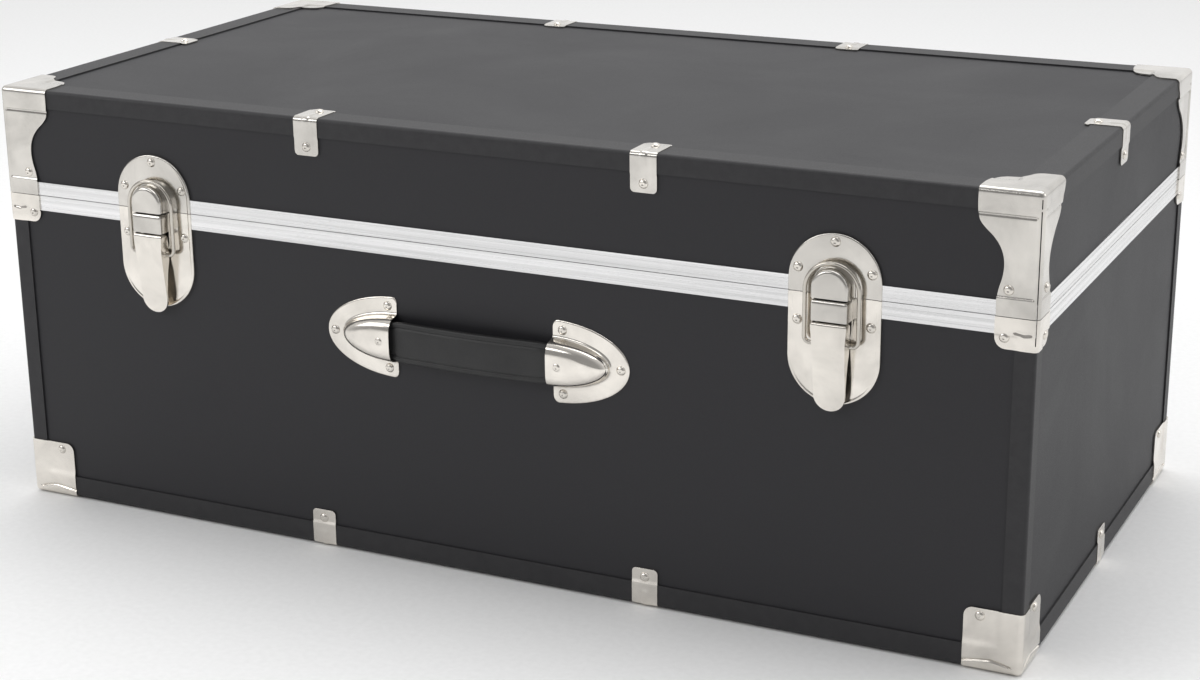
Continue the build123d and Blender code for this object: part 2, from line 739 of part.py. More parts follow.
def clip_places(z):
    """Rivet places on the six clips of one edge."""
    places = [right_plane.location * Pos(mid_y, z, 0), left_plane.location * Pos(-mid_y, z, 0)]
    for x in (-clip_x, clip_x):
        places += [front_face(0).location * Pos(x, z, 0), back_plane.location * Pos(x, z, 0)]
    return places


def top_places():
    """Rivet places on the top leaves of the lid's clips."""
    top = Plane.XY.offset(height).location
    places = [top * Pos(sx * (half_x - clip_top_rivet), mid_y, 0) for sx in (-1, 1)]
    for y in (front + clip_top_rivet, back - clip_top_rivet):
        places += [top * Pos(x, y, 0) for x in (-clip_x, clip_x)]
    return places


def hinge_places(z):
    """Three rivets in each hinge leaf."""
    offsets = (-hinge_rivet_spread, 0, hinge_rivet_spread)
    return [back_plane.location * Pos(sx * hinge_x + dx, z, 0) for sx in (-1, 1) for dx in offsets]


def front_places(points, out=0):
    """Rivet places on the front, mirrored to both sides of the middle."""
    return [front_face(out).location * Pos(sx * x, z, 0) for sx in (-1, 1) for x, z in points]


def rivet_group(name, places):
    """All the rivets of one body."""
    with BuildPart() as group:
        for place in places:
            add(rivet.part.moved(place))
    finish(group.part, name)


keeper_rivets = [
    (latch_x - latch_rivet_spread, keeper_rivet_z),
    (latch_x, keeper_top_rivet_z),
    (latch_x + latch_rivet_spread, keeper_rivet_z),
]
plate_rivets = [
    (latch_x - latch_rivet_spread, plate_rivet_z),
    (latch_x + latch_rivet_spread, plate_rivet_z),
]
cap_rivets = [
    (cap_tip_rivet, handle_z),
    (cap_pair_rivet, handle_z + cap_pair_spread),
    (cap_pair_rivet, handle_z - cap_pair_spread),
]
rivet_group(
    "lid_rivets",
    all_round(lid_corner_rivet, lid_corner_side_rivet, lid_corner_rivet_z)
    + clip_places(height - clip_rivet_drop)
    + top_places()
    + hinge_places(upper_leaf_rivet_z)
    + front_places(keeper_rivets),
)
rivet_group(
    "base_rivets",
    all_round(rim_corner_rivet, rim_corner_side_rivet, rim_corner_rivet_z)
    + all_round(bottom_corner_rivet, bottom_corner_rivet, bottom_corner_rivet_z)
    + clip_places(clip_rivet_drop)
    + hinge_places(lower_leaf_rivet_z)
    + front_places(plate_rivets)
    + front_places(cap_rivets, handle_plate_out)
    + front_places([(cap_dome_rivet, handle_z)], handle_plate_out + cap_dome_rise),
)
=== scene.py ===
import json
import math

import bmesh
import bpy
import numpy as np
from mathutils import Matrix, Vector


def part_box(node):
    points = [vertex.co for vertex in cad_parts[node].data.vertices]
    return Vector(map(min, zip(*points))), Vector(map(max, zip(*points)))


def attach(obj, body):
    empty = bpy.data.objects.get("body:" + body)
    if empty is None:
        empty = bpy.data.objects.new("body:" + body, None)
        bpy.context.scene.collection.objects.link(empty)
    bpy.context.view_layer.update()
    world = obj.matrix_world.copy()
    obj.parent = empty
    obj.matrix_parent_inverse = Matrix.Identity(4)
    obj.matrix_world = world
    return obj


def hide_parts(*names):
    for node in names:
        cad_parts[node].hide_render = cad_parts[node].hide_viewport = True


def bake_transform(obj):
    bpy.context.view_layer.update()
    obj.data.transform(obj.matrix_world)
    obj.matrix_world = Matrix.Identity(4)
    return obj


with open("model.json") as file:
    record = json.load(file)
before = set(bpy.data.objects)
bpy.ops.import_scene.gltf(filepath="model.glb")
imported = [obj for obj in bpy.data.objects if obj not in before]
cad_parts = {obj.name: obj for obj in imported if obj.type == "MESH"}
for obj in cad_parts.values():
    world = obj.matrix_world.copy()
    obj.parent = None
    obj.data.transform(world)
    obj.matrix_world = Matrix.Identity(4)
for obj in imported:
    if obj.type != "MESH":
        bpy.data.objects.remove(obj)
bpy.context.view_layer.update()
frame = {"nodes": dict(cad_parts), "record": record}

MM = 0.001

# ---- the trunk's own planes, read from the frame ----
corner_low, corner_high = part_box("lid_corner_front_right")
_, bottom_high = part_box("bottom_corner_front_right")
_, back_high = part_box("lid_corner_back_right")
rim_low, rim_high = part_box("base_rim_corner_front_right")
FRONT = corner_low.y
BACK = back_high.y
HALF_X = corner_high.x
TOP = corner_high.z
LID_LOW = corner_low.z
BASE_TOP = rim_high.z
MID_Y = (FRONT + BACK) / 2
SIDES = ("left", -1), ("right", 1)

SHEET = 1.0 * MM  # pressed steel of the corners, clips, latches and handle caps
FOLD = SHEET + 2.5 * MM  # outside radius of a folded corner


# ---- materials ----
class Nodes:
    """Small helper for building one node material."""

    def __init__(self, name):
        self.material = bpy.data.materials.new(name)
        self.material.use_nodes = True
        self.tree = self.material.node_tree
        self.shader = self.tree.nodes["Principled BSDF"]
        self.coords = self.tree.nodes.new("ShaderNodeTexCoord").outputs["Object"]

    def link(self, a, b):
        self.tree.links.new(a, b)

    def node(self, kind, **values):
        made = self.tree.nodes.new(kind)
        for key, value in values.items():
            if hasattr(made, key):
                setattr(made, key, value)
            else:
                made.inputs[key.replace("_", " ")].default_value = value
        return made

    def stretched(self, x, y, z):
        """Object coordinates scaled along each axis."""
        mapping = self.node("ShaderNodeMapping", Scale=(x, y, z))
        self.link(self.coords, mapping.inputs["Vector"])
        return mapping.outputs["Vector"]

    def noise(self, scale, detail=4.0, roughness=0.5, vector=None, distortion=0.0):
        settings = dict(Scale=scale, Detail=detail, Roughness=roughness, Distortion=distortion)
        made = self.node("ShaderNodeTexNoise", **settings)
        self.link(vector or self.coords, made.inputs["Vector"])
        return made.outputs["Fac"]

    def cells(self, scale):
        made = self.node("ShaderNodeTexVoronoi", Scale=scale)
        self.link(self.coords, made.inputs["Vector"])
        return made.outputs["Distance"]

    def remap(self, value, low, high, to_low, to_high):
        made = self.node("ShaderNodeMapRange", From_Min=low, From_Max=high, To_Min=to_low, To_Max=to_high)
        self.link(value, made.inputs["Value"])
        return made.outputs["Result"]

    def math(self, operation, a, b):
        made = self.node("ShaderNodeMath")
        made.operation = operation
        for index, value in enumerate((a, b)):
            if isinstance(value, (int, float)):
                made.inputs[index].default_value = value
            else:
                self.link(value, made.inputs[index])
        return made.outputs["Value"]

    def blend_colors(self, factor, first, second):
        made = self.node("ShaderNodeMix", data_type="RGBA")
        made.inputs["A"].default_value = (*first, 1)
        made.inputs["B"].default_value = (*second, 1)
        self.link(factor, made.inputs["Factor"])
        return made.outputs["Result"]

    def tones(self, factor, low, high, first, second):
        """Colour that runs from first to second while the factor runs from low to high."""
        return self.blend_colors(self.remap(factor, low, high, 0, 1), first, second)

    def bump(self, height, distance, strength=1.0, after=None):
        made = self.node("ShaderNodeBump", Strength=strength, Distance=distance)
        self.link(height, made.inputs["Height"])
        if after:
            self.link(after, made.inputs["Normal"])
        return made.outputs["Normal"]

    def set(self, name, value):
        target = self.shader.inputs[name]
        if isinstance(value, (int, float, tuple)):
            target.default_value = value
        else:
            self.link(value, target)


VINYL_TONES = (0.0112, 0.0108, 0.0138), (0.0156, 0.0150, 0.0182)
BINDING_TONES = (0.0160, 0.0155, 0.0178), (0.0225, 0.0218, 0.0242)
ALUMINIUM_TONES = (0.64, 0.64, 0.64), (0.86, 0.855, 0.86)
STRAP_TONES = (0.0085, 0.0085, 0.0090), (0.0150, 0.0150, 0.0155)
LINING_TONES = (0.060, 0.060, 0.066), (0.125, 0.122, 0.120)
FLOOR_TONES = (0.90, 0.90, 0.90), (0.94, 0.94, 0.94)
VINYL_PEBBLES = 1500  # in a metre of the vinyl's grain
POLISHED, DULLED = 1.08, 0.76  # share of a nickel's tint in its bright and its dulled patches


def vinyl_material():
    """Black leather-look vinyl: fine pebble grain, soft cloudy gloss and faint tonal drift."""
    n = Nodes("grained_vinyl")
    grain = n.math("ADD", n.cells(VINYL_PEBBLES), n.math("MULTIPLY", n.noise(2600, 3), 0.6))
    swell = n.noise(260, 3)
    normal = n.bump(swell, 0.00012, 0.35)
    n.set("Normal", n.bump(grain, 0.00006, 0.55, normal))
    cloud = n.noise(7, 5, 0.6, distortion=0.6)
    n.set("Base Color", n.tones(cloud, 0.35, 0.65, *VINYL_TONES))
    fine = n.remap(n.cells(VINYL_PEBBLES), 0.0, 0.6, -0.05, 0.05)
    n.set("Roughness", n.math("ADD", n.remap(cloud, 0.3, 0.7, 0.50, 0.60), fine))
    n.set("Specular IOR Level", 0.5)
    return n.material


def binding_material():
    """Vulcanised fibre in black: smoother than the vinyl, with a fine drag and small pale flecks."""
    n = Nodes("binding_fibre")
    drag = n.noise(900, 3)
    fleck = n.noise(140, 4, 0.6)
    n.set("Normal", n.bump(n.math("ADD", drag, n.math("MULTIPLY", fleck, 0.5)), 0.00004, 0.5))
    n.set("Base Color", n.tones(fleck, 0.35, 0.7, *BINDING_TONES))
    n.set("Roughness", n.remap(drag, 0.3, 0.7, 0.50, 0.60))
    n.set("Specular IOR Level", 0.5)
    return n.material


def aluminium_material():
    """Bright extruded aluminium with fine drawing lines along the strips."""
    n = Nodes("closure_aluminium")
    lines = n.noise(1.0, 4, 0.7, n.stretched(6, 6, 2600))
    broad = n.noise(1.0, 2, 0.5, n.stretched(3, 3, 420))
    smudge = n.noise(18, 4, 0.6)
    drawn = n.math("ADD", lines, n.math("MULTIPLY", broad, 1.5))
    n.set("Metallic", 1.0)
    n.set("Base Color", n.tones(drawn, 0.9, 1.6, *ALUMINIUM_TONES))
    fingered = n.remap(smudge, 0.3, 0.7, -0.03, 0.06)
    n.set("Roughness", n.math("ADD", n.remap(lines, 0.3, 0.7, 0.16, 0.30), fingered))
    n.set("Normal", n.bump(n.math("ADD", lines, broad), 0.00003, 0.6))
    return n.material


def nickel_material(name, tint=(0.83, 0.79, 0.73), rough=0.15):
    """Nickel plate on pressed steel: soft ripples from pressing, fine rub marks and dulled patches."""
    n = Nodes(name)
    ripple = n.noise(42, 2, 0.45)
    rub = n.noise(1.0, 3, 0.6, n.stretched(2400, 900, 300))
    dull = n.noise(26, 5, 0.6, distortion=0.5)
    n.set("Metallic", 1.0)
    bright, dark = (tuple(min(1.0, c * share) for c in tint) for share in (POLISHED, DULLED))
    n.set("Base Color", n.tones(dull, 0.3, 0.72, bright, dark))
    patches = n.remap(dull, 0.35, 0.75, rough - 0.05, rough + 0.09)
    n.set("Roughness", n.math("ADD", patches, n.remap(rub, 0.35, 0.75, -0.01, 0.05)))
    n.set("Normal", n.bump(rub, 0.00002, 0.25, n.bump(ripple, 0.0016, 0.22)))
    return n.material


def strap_material():
    """Satin black leather strap: tight grain, creases across the belt, slightly rubbed high spots."""
    n = Nodes("strap_leather")
    grain = n.math("ADD", n.cells(1100), n.math("MULTIPLY", n.noise(700, 4), 0.8))
    crease = n.noise(1.0, 3, 0.6, n.stretched(420, 120, 60))
    n.set("Normal", n.bump(grain, 0.00010, 0.6, n.bump(crease, 0.0002, 0.35)))
    tone = n.noise(45, 4, 0.6)
    n.set("Base Color", n.tones(tone, 0.3, 0.7, *STRAP_TONES))
    n.set("Roughness", n.remap(grain, 0.2, 1.0, 0.38, 0.55))
    n.set("Specular IOR Level", 0.6)
    return n.material


def lining_material():
    """Dark lining paper printed with a fine woven look."""
    n = Nodes("lining_paper")
    warp = n.noise(1.0, 2, 0.6, n.stretched(1800, 60, 60))
    weft = n.noise(1.0, 2, 0.6, n.stretched(60, 1800, 1800))
    weave = n.math("ADD", warp, weft)
    tone = n.noise(12, 4, 0.6)
    n.set("Normal", n.bump(weave, 0.00008, 0.5))
    woven = n.math("ADD", n.remap(weave, 0.7, 1.3, 0, 0.75), n.remap(tone, 0.3, 0.7, 0, 0.25))
    n.set("Base Color", n.blend_colors(woven, *LINING_TONES))
    n.set("Roughness", n.remap(weave, 0.7, 1.3, 0.72, 0.86))
    return n.material


VINYL = vinyl_material()
BINDING = binding_material()
ALUMINIUM = aluminium_material()
NICKEL = nickel_material("nickel_plate")
# Darker copy of the nickel: painted shade, for the lid's corners, clips and keeper plates and for the lever
# brackets
SHADED_NICKEL = nickel_material("nickel_plate_painted_shade", (0.655, 0.63, 0.59), 0.17)
RIVET = nickel_material("nickel_rivet", (0.80, 0.76, 0.70), 0.17)
# Darker copy of the nickel for the wire loops: painted shade standing in for the dark reflections round the
# catch dome
WIRE = nickel_material("nickel_wire_painted_shade", (0.62, 0.585, 0.53), 0.14)
HINGE = nickel_material("hinge_nickel", (0.74, 0.71, 0.66), 0.24)
STRAP = strap_material()
LINING = lining_material()

CAD_MATERIALS = {
    "vinyl": VINYL,
    "binding": BINDING,
    "closure_strip": ALUMINIUM,
    "nickel": NICKEL,
    "rivet": RIVET,
    "wire": WIRE,
    "hinge_steel": HINGE,
    "strap": STRAP,
    "lining": LINING,
}
for row in frame["record"]["subparts"]:
    for material_slot in frame["nodes"][row["node"]].material_slots:
        material_slot.material = CAD_MATERIALS[row["material_slot"]]


# ---- mesh helpers ----
def new_object(name, bm, material, smooth=True):
    mesh = bpy.data.meshes.new(name)
    bm.normal_update()
    bm.to_mesh(mesh)
    bm.free()
    mesh.materials.append(material)
    if smooth:
        mesh.polygons.foreach_set("use_smooth", [True] * len(mesh.polygons))
    made = bpy.data.objects.new(name, mesh)
    bpy.context.scene.collection.objects.link(made)
    return made


# thickness, edge radius, edge segments and least edge angle of each kind of sheet metal
CORNER_SHEET = (SHEET * 0.98, 0.28 * MM, 2, 35)
PLATE_SHEET = (SHEET * 0.95, 0.22 * MM, 2, 50)
BRACKET_SHEET = (SHEET * 0.95, 0.2 * MM, 2, 50)
LEVER_SHEET = (SHEET * 0.95, 0.45 * MM, 3, 45)
CAP_SHEET = (SHEET * 0.95, 0.25 * MM, 2, 50)


def thicken(obj, thickness, bevel, segments, angle):
    """Give an open surface its thickness, inwards, and round its edges."""
    solid = obj.modifiers.new("solid", "SOLIDIFY")
    solid.thickness = thickness
    solid.offset = -1
    solid.use_even_offset = False
    soften(obj, bevel, segments, angle)
    return obj


def soften(obj, bevel, segments, angle):
    """Round the edges that turn by more than the angle, and keep the result as plain geometry."""
    edge = obj.modifiers.new("bevel", "BEVEL")
    edge.width = bevel
    edge.segments = segments
    edge.limit_method = "ANGLE"
    edge.angle_limit = math.radians(angle)
    edge.harden_normals = True
    graph = bpy.context.evaluated_depsgraph_get()
    old, obj.data = obj.data, bpy.data.meshes.new_from_object(obj.evaluated_get(graph))
    obj.modifiers.clear()
    bpy.data.meshes.remove(old)


def resample(points, count):
    """Points spread evenly along a polyline."""
    points = np.array(points, float)
    steps = np.linalg.norm(np.diff(points, axis=0), axis=1)
    along = np.r_[0, np.cumsum(steps)]
    wanted = np.linspace(0, along[-1], count)
    return np.stack([np.interp(wanted, along, points[:, k]) for k in range(points.shape[1])], 1)


def arc(centre, radius, start, end, count=8):
    """Points of an arc, its angles in degrees."""
    angles = np.radians(np.linspace(start, end, count))
    return [(centre[0] + radius * math.cos(t), centre[1] + radius * math.sin(t)) for t in angles]


def smooth_step(value, low, high):
    t = np.clip((value - low) / (high - low), 0, 1)
    return t * t * (3 - 2 * t)


def curve_through(points, at):
    """Smooth curve through (position, value) pairs, read at the given positions."""
    points = np.array(points, float)
    x, y = points[:, 0], points[:, 1]
    slopes = np.gradient(y, x)
    k = np.clip(np.searchsorted(x, at) - 1, 0, len(x) - 2)
    h = x[k + 1] - x[k]
    t = np.clip((np.asarray(at) - x[k]) / h, 0, 1)
    return (
        (2 * t**3 - 3 * t**2 + 1) * y[k]
        + (t**3 - 2 * t**2 + t) * h * slopes[k]
        + (3 * t**2 - 2 * t**3) * y[k + 1]
        + (t**3 - t**2) * h * slopes[k + 1]
    )


def distance_to_line(p, q, line):
    """Distance from points (p, q) to a polyline."""
    best = np.full(np.shape(p), 1e9)
    for (x0, y0), (x1, y1) in zip(line, line[1:]):
        dx, dy = x1 - x0, y1 - y0
        t = np.clip(((p - x0) * dx + (q - y0) * dy) / (dx * dx + dy * dy), 0, 1)
        best = np.minimum(best, np.hypot(p - x0 - t * dx, q - y0 - t * dy))
    return best


# ---- pressed corners ----
# Millimetres in a corner's own frame: a in from the trunk's side, b in from its front or back,
# c in from its top, bottom or rim. Each leaf lies at 0 and is pressed in, by under a millimetre,
# where it steps down off a binding, creases or has a dent.
FOLD_MM = FOLD / MM
CORNER_CELL = 1.3  # about the width of a mesh cell on a leaf
FOLD_STEPS = 6  # mesh cells across a fold
FLAT_RAYS = 33  # rows of vertices from a corner's point out over its flat leaf
UPRIGHT_ANGLES = (0, 12, 25, 36, 50, 63, 76, 90)  # round the upright fold, from the front leaf
SLIT_STEP = 2  # the step of the fold that stays open as the slit between the leaves
LID_STEP = 0.62  # how far a leaf of the lid corner steps down off the bindings
STEP = 0.75  # how far any other leaf or clip does
DEEPEST = 0.92  # a leaf pressed in further than this would go behind the panel


def bell(v, width, w=0.0, other=1.0):
    """Bump of height 1 that fades with v over a width, and with w over another."""
    return np.exp(-((v / width) ** 2) - (w / other) ** 2)


def lid_press(p, q, is_front):
    """How far the lid corner's leaf is pressed in, at p from the upright edge and q from the top."""
    between = smooth_step(q, 14.9, 16.4) * (1 - smooth_step(q, 65.4, 66.9))
    crease = 0.6 * bell(q - 11.0, 0.8) * (1 - smooth_step(p, 5.0, 8.5)) * (not is_front)
    dents = 0.35 * bell(q - 59.5, 2.2, p - 5.4, 1.7) * (not is_front)
    hollow = 0.12 * np.sin(np.clip((q - 16.4) / 49.0, 0, 1) * math.pi) * smooth_step(p, 5.0, 14.0) * is_front
    valley = 0.3 * bell(q - 16.4, 1.1) * smooth_step(q, 14.6, 16.0)
    return np.minimum(between * LID_STEP + valley + crease + dents + hollow, DEEPEST)


RIM_CREASE = [(14.0, 8.4), (9.5, 9.6), (4.6, 9.0)]


def rim_press(p, q, is_front):
    """The same for a rim corner, at q from the base's rim."""
    between = smooth_step(q, 10.6, 12.4) * smooth_step(p, 9.0, 15.0)
    dents = 0.5 * bell(q - 6.5, 1.8, p - 6.2, 1.5) * (not is_front)
    fold = 0.7 * bell(distance_to_line(p, q, RIM_CREASE), 1.25) * is_front
    return np.minimum(between * STEP + dents + fold, DEEPEST)


GROOVE_ROW = 8.0
FOLDED_GROOVE = ([FOLD_MM, 6.6, 12, 18.8, 21, 30, 41], [GROOVE_ROW, 4.9, 6.4, 8.0, 8.2, 6.9, 5.0])


def along_groove(p, q):
    """Bends the rows of a bottom corner's leaf, so that row GROOVE_ROW runs along the folded groove."""
    weight = np.minimum((q - FOLD_MM) / (GROOVE_ROW - FOLD_MM), (15.5 - q) / (15.5 - GROOVE_ROW))
    return q + (np.interp(p, *FOLDED_GROOVE) - GROOVE_ROW) * np.clip(weight, 0, 1)


def bottom_press(p, q, is_front):
    """The same for a bottom corner, at q from the floor."""
    off_bindings = smooth_step(p, 13.0, 18.0) * smooth_step(q, 15.5, 21.5)
    groove = 0.75 * bell(q - GROOVE_ROW, 0.8) * smooth_step(p, 5.2, 7.6)
    dents = 0.4 * bell(q - 24, 2.0, p - 6.5, 1.6)
    return STEP * off_bindings + groove + dents


def flat_press(a, b):
    """How far a corner's flat leaf is pressed in beyond the two bindings."""
    return STEP * smooth_step(a, 21.8, 23.4) * smooth_step(b, 21.8, 23.4)


# the lid corner's outlines: front and side leaf as (drop, width), flat leaf as (a, b)
LID_FRONT = [
    (0, 40), (12, 40), (17, 39.6), (21, 38.4), (25, 35.0), (29, 30.6), (34, 26.6), (40, 23.9),
    (46, 23.0), (54, 23.7), (61, 25.6), (66, 26.5), (78, 26.5),
]
LID_SIDE = [
    (0, 44.5), (5, 44.4), (8, 43.2), (11, 41.0), (15, 39.8), (19, 38.9), (23, 36.0), (28, 29.6),
    (33, 24.6), (40, 19.8), (46, 18.1), (53, 18.6), (60, 20.9), (67, 23.0), (78, 23.0),
]
LID_FLAT = resample(
    [(40, FOLD_MM), (40, 13), (39.2, 19), (37.6, 25), (35.2, 29), (31.5, 31.6), (27, 32.4), (23.4, 33),
     (20.8, 34.8), (19.4, 37.4), (18.4, 40.2), (16.6, 42.8), (13.4, 44.2), (9.5, 44.5), (FOLD_MM, 44.5)],
    FLAT_RAYS,
)
BOTTOM_FLAT = resample(
    [(38.5, FOLD_MM), (38.5, 20)] + arc((32.5, 26), 6, 0, 90) + arc((26, 35), 6, 0, 90) + [(FOLD_MM, 41)],
    FLAT_RAYS,
)


def rounded_foot(width, drop, radius):
    """Width of a leaf whose free corner is rounded, as (drop, width) pairs."""
    pairs = [(0, width)]
    for angle in range(0, 91, 10):
        t = math.radians(angle)
        pairs.append((drop - radius + radius * math.sin(t), width - radius + radius * math.cos(t)))
    return pairs


def pressed_corner(
    name, place, node, body, front, side, flat, drop, press, finish,
    slits=(), linear=False, fine_rows=(), bend=None,
):
    """One pressed corner, built as quads over its leaves, folds and point, then given its thickness."""
    flip = np.linalg.det(np.array(place.to_3x3())) > 0
    start = FOLD_MM if flat is not None else 0.0
    c = np.linspace(start, drop, round((drop - start) / CORNER_CELL) + 1)
    c = np.r_[c, [q for q in fine_rows if start < q < drop]]
    if linear:
        c = np.unique(np.r_[c, np.array(front)[-6:, 0]].round(3))
        widths = [np.interp(c, np.array(w)[:, 0], np.array(w)[:, 1]) for w in (front, side)]
    else:
        c = np.unique(c.round(3))
        widths = [curve_through(front, c), curve_through(side, c)]
    rows = len(c) - 1
    spread = np.linspace(0, 1, round(max(widths[0][0], widths[1][0]) / CORNER_CELL) + 1)

    def columns(width):
        """Column positions from the fold out to the leaf's edge."""
        return FOLD_MM + (width - FOLD_MM) * spread

    bm = bmesh.new()
    cache = {}

    def vertex(a, b, cc):
        key = (round(a, 4), round(b, 4), round(cc, 4))
        if key not in cache:
            cache[key] = bm.verts.new(place @ Vector((a * MM, b * MM, cc * MM)))
        return cache[key]

    def quad(*corners):
        corners = list(dict.fromkeys(corners))
        if len(corners) > 2:
            if flip:
                corners.reverse()
            bm.faces.new(corners)

    front_grid, side_grid = [], []
    for j in range(rows + 1):
        for grid, width, is_front in ((front_grid, widths[0][j], True), (side_grid, widths[1][j], False)):
            p = columns(width)
            q = np.full(p.shape, c[j])
            depth = press(p, q, is_front) * smooth_step(p, FOLD_MM, FOLD_MM + 1.2)
            q = q if bend is None else bend(p, q)
            grid.append([vertex(*((u, d, v) if is_front else (d, u, v))) for u, d, v in zip(p, depth, q)])
    for j in range(rows):
        for i in range(len(front_grid[0]) - 1):
            quad(front_grid[j][i], front_grid[j + 1][i], front_grid[j + 1][i + 1], front_grid[j][i + 1])
            quad(side_grid[j][i + 1], side_grid[j + 1][i + 1], side_grid[j + 1][i], side_grid[j][i])

    angles = np.radians(np.linspace(0, 90, FOLD_STEPS + 1))
    around = np.radians(UPRIGHT_ANGLES)
    r = FOLD_MM
    upright = [[vertex(r - r * math.sin(t), r - r * math.cos(t), cj) for t in around] for cj in c]
    for j in range(rows):
        for k in range(len(around) - 1):
            if k != SLIT_STEP or not any(low <= c[j] and c[j + 1] <= high for low, high in slits):
                quad(upright[j][k], upright[j][k + 1], upright[j + 1][k + 1], upright[j + 1][k])

    if flat is not None:
        ends = [columns(widths[0][0]), columns(widths[1][0])]
        fractions = [(e - FOLD_MM) / (e[-1] - FOLD_MM) for e in ends]
        rays = []
        for k, (a1, b1) in enumerate(flat):
            share = k / (len(flat) - 1)
            f = fractions[0] * (1 - share) + fractions[1] * share
            a, b = FOLD_MM + (a1 - FOLD_MM) * f, FOLD_MM + (b1 - FOLD_MM) * f
            depth = flat_press(a, b)
            rays.append([vertex(a[i], b[i], depth[i]) for i in range(len(f))])
        for k in range(len(rays) - 1):
            for i in range(len(rays[0]) - 1):
                quad(rays[k][i], rays[k][i + 1], rays[k + 1][i + 1], rays[k + 1][i])
        bends = [(r - r * math.sin(t), r - r * math.cos(t)) for t in angles]
        front_fold = [[vertex(p, d, fall) for p in ends[0]] for d, fall in bends]
        side_fold = [[vertex(d, p, fall) for p in ends[1]] for d, fall in bends]
        for k in range(FOLD_STEPS):
            for i in range(len(ends[0]) - 1):
                a, b = front_fold[k], front_fold[k + 1]
                quad(a[i], b[i], b[i + 1], a[i + 1])
                a, b = side_fold[k], side_fold[k + 1]
                quad(a[i + 1], b[i + 1], b[i], a[i])
        octant = []
        for t in angles:
            reach, fall = r * math.sin(t), r - r * math.cos(t)
            octant.append([vertex(r - reach * math.sin(s), r - reach * math.cos(s), fall) for s in around])
        for k in range(FOLD_STEPS):
            for i in range(len(around) - 1):
                quad(octant[k][i], octant[k][i + 1], octant[k + 1][i + 1], octant[k + 1][i])

    piece = new_object(name, bm, finish)
    thicken(piece, *CORNER_SHEET)
    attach(piece, body)
    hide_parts(node)


def corner_place(sx, front, z, z_dir):
    """Matrix from a corner's own frame to the trunk's."""
    y, sy = (FRONT, 1) if front else (BACK, -1)
    place = Matrix.Diagonal((-sx, sy, z_dir, 1))
    place.translation = (sx * HALF_X, y, z)
    return place


LID_DROP = (TOP - LID_LOW) / MM
RIM_DROP = (BASE_TOP - rim_low.z) / MM
BOTTOM_DROP = bottom_high.z / MM
# rows of vertices close together where a leaf steps, creases or folds
STEP_ROWS = (14.9, 15.2, 15.6, 16.0, 16.4, 16.9, 17.4, 18.0, 18.7, 65.4, 65.75, 66.2, 66.6, 66.9)
CREASE_ROWS = (9.8, 10.4, 10.8, 11.2, 11.6, 12.0)
RIM_ROWS = np.arange(5.0, 13.0, 0.6)
GROOVE_ROWS = np.arange(5.6, 11.0, 0.3)
LID_SLITS = (4.0, 10.5), (12.0, LID_DROP + 1)
RIM_SLITS = ((0.0, 16.5),)
RIM_LEAVES = [rounded_foot(width, RIM_DROP, 7) for width in (27, 24)]
BOTTOM_LEAVES = [rounded_foot(width, BOTTOM_DROP, 6) for width in (38.5, 41)]
for side, sx in SIDES:
    for end in ("front", "back"):
        at_front = end == "front"
        lid_place, rim_place = (corner_place(sx, at_front, z, -1) for z in (TOP, BASE_TOP))
        pressed_corner(
            f"lid_cap_{end}_{side}", lid_place, f"lid_corner_{end}_{side}", "lid",
            LID_FRONT, LID_SIDE, LID_FLAT, LID_DROP, lid_press, SHADED_NICKEL,
            slits=LID_SLITS, fine_rows=STEP_ROWS + CREASE_ROWS,
        )
        pressed_corner(
            f"rim_cap_{end}_{side}", rim_place, f"base_rim_corner_{end}_{side}", "base",
            *RIM_LEAVES, None, RIM_DROP, rim_press, NICKEL,
            slits=RIM_SLITS, linear=True, fine_rows=RIM_ROWS,
        )
        bottom_place = corner_place(sx, at_front, 0.0, 1)
        pressed_corner(
            f"bottom_cap_{end}_{side}", bottom_place, f"bottom_corner_{end}_{side}", "base",
            *BOTTOM_LEAVES, BOTTOM_FLAT, BOTTOM_DROP, bottom_press, NICKEL,
            linear=True, fine_rows=GROOVE_ROWS, bend=along_groove,
        )


# ---- edge clips ----
CLIP_HALF = 9.25
CLIP_ROUND = 3.0
CLIP_LEG = 27.0
CLIP_X = 124.5 * MM  # the front and back clips on each side of the middle
CLIP_EDGE_SHARES = np.array([0.04, 0.15, 0.35, 0.65])  # rows of vertices round a clip's corners
CLIP_STEP = STEP + 0.15
BEAD_SINK = 0.4  # the clip beside its bead, below the bead's top


def clip_sink(a, q, leg):
    """How far a clip's sheet lies below its outer plane, at a from its middle and q from the edge."""
    bead = (1 - smooth_step(abs(a), 1.6, 2.5)) * (1 - smooth_step(q, 10.0, 13.0))
    return BEAD_SINK * (1 - bead) + (CLIP_STEP - BEAD_SINK) * smooth_step(q, leg, leg + 1.6)


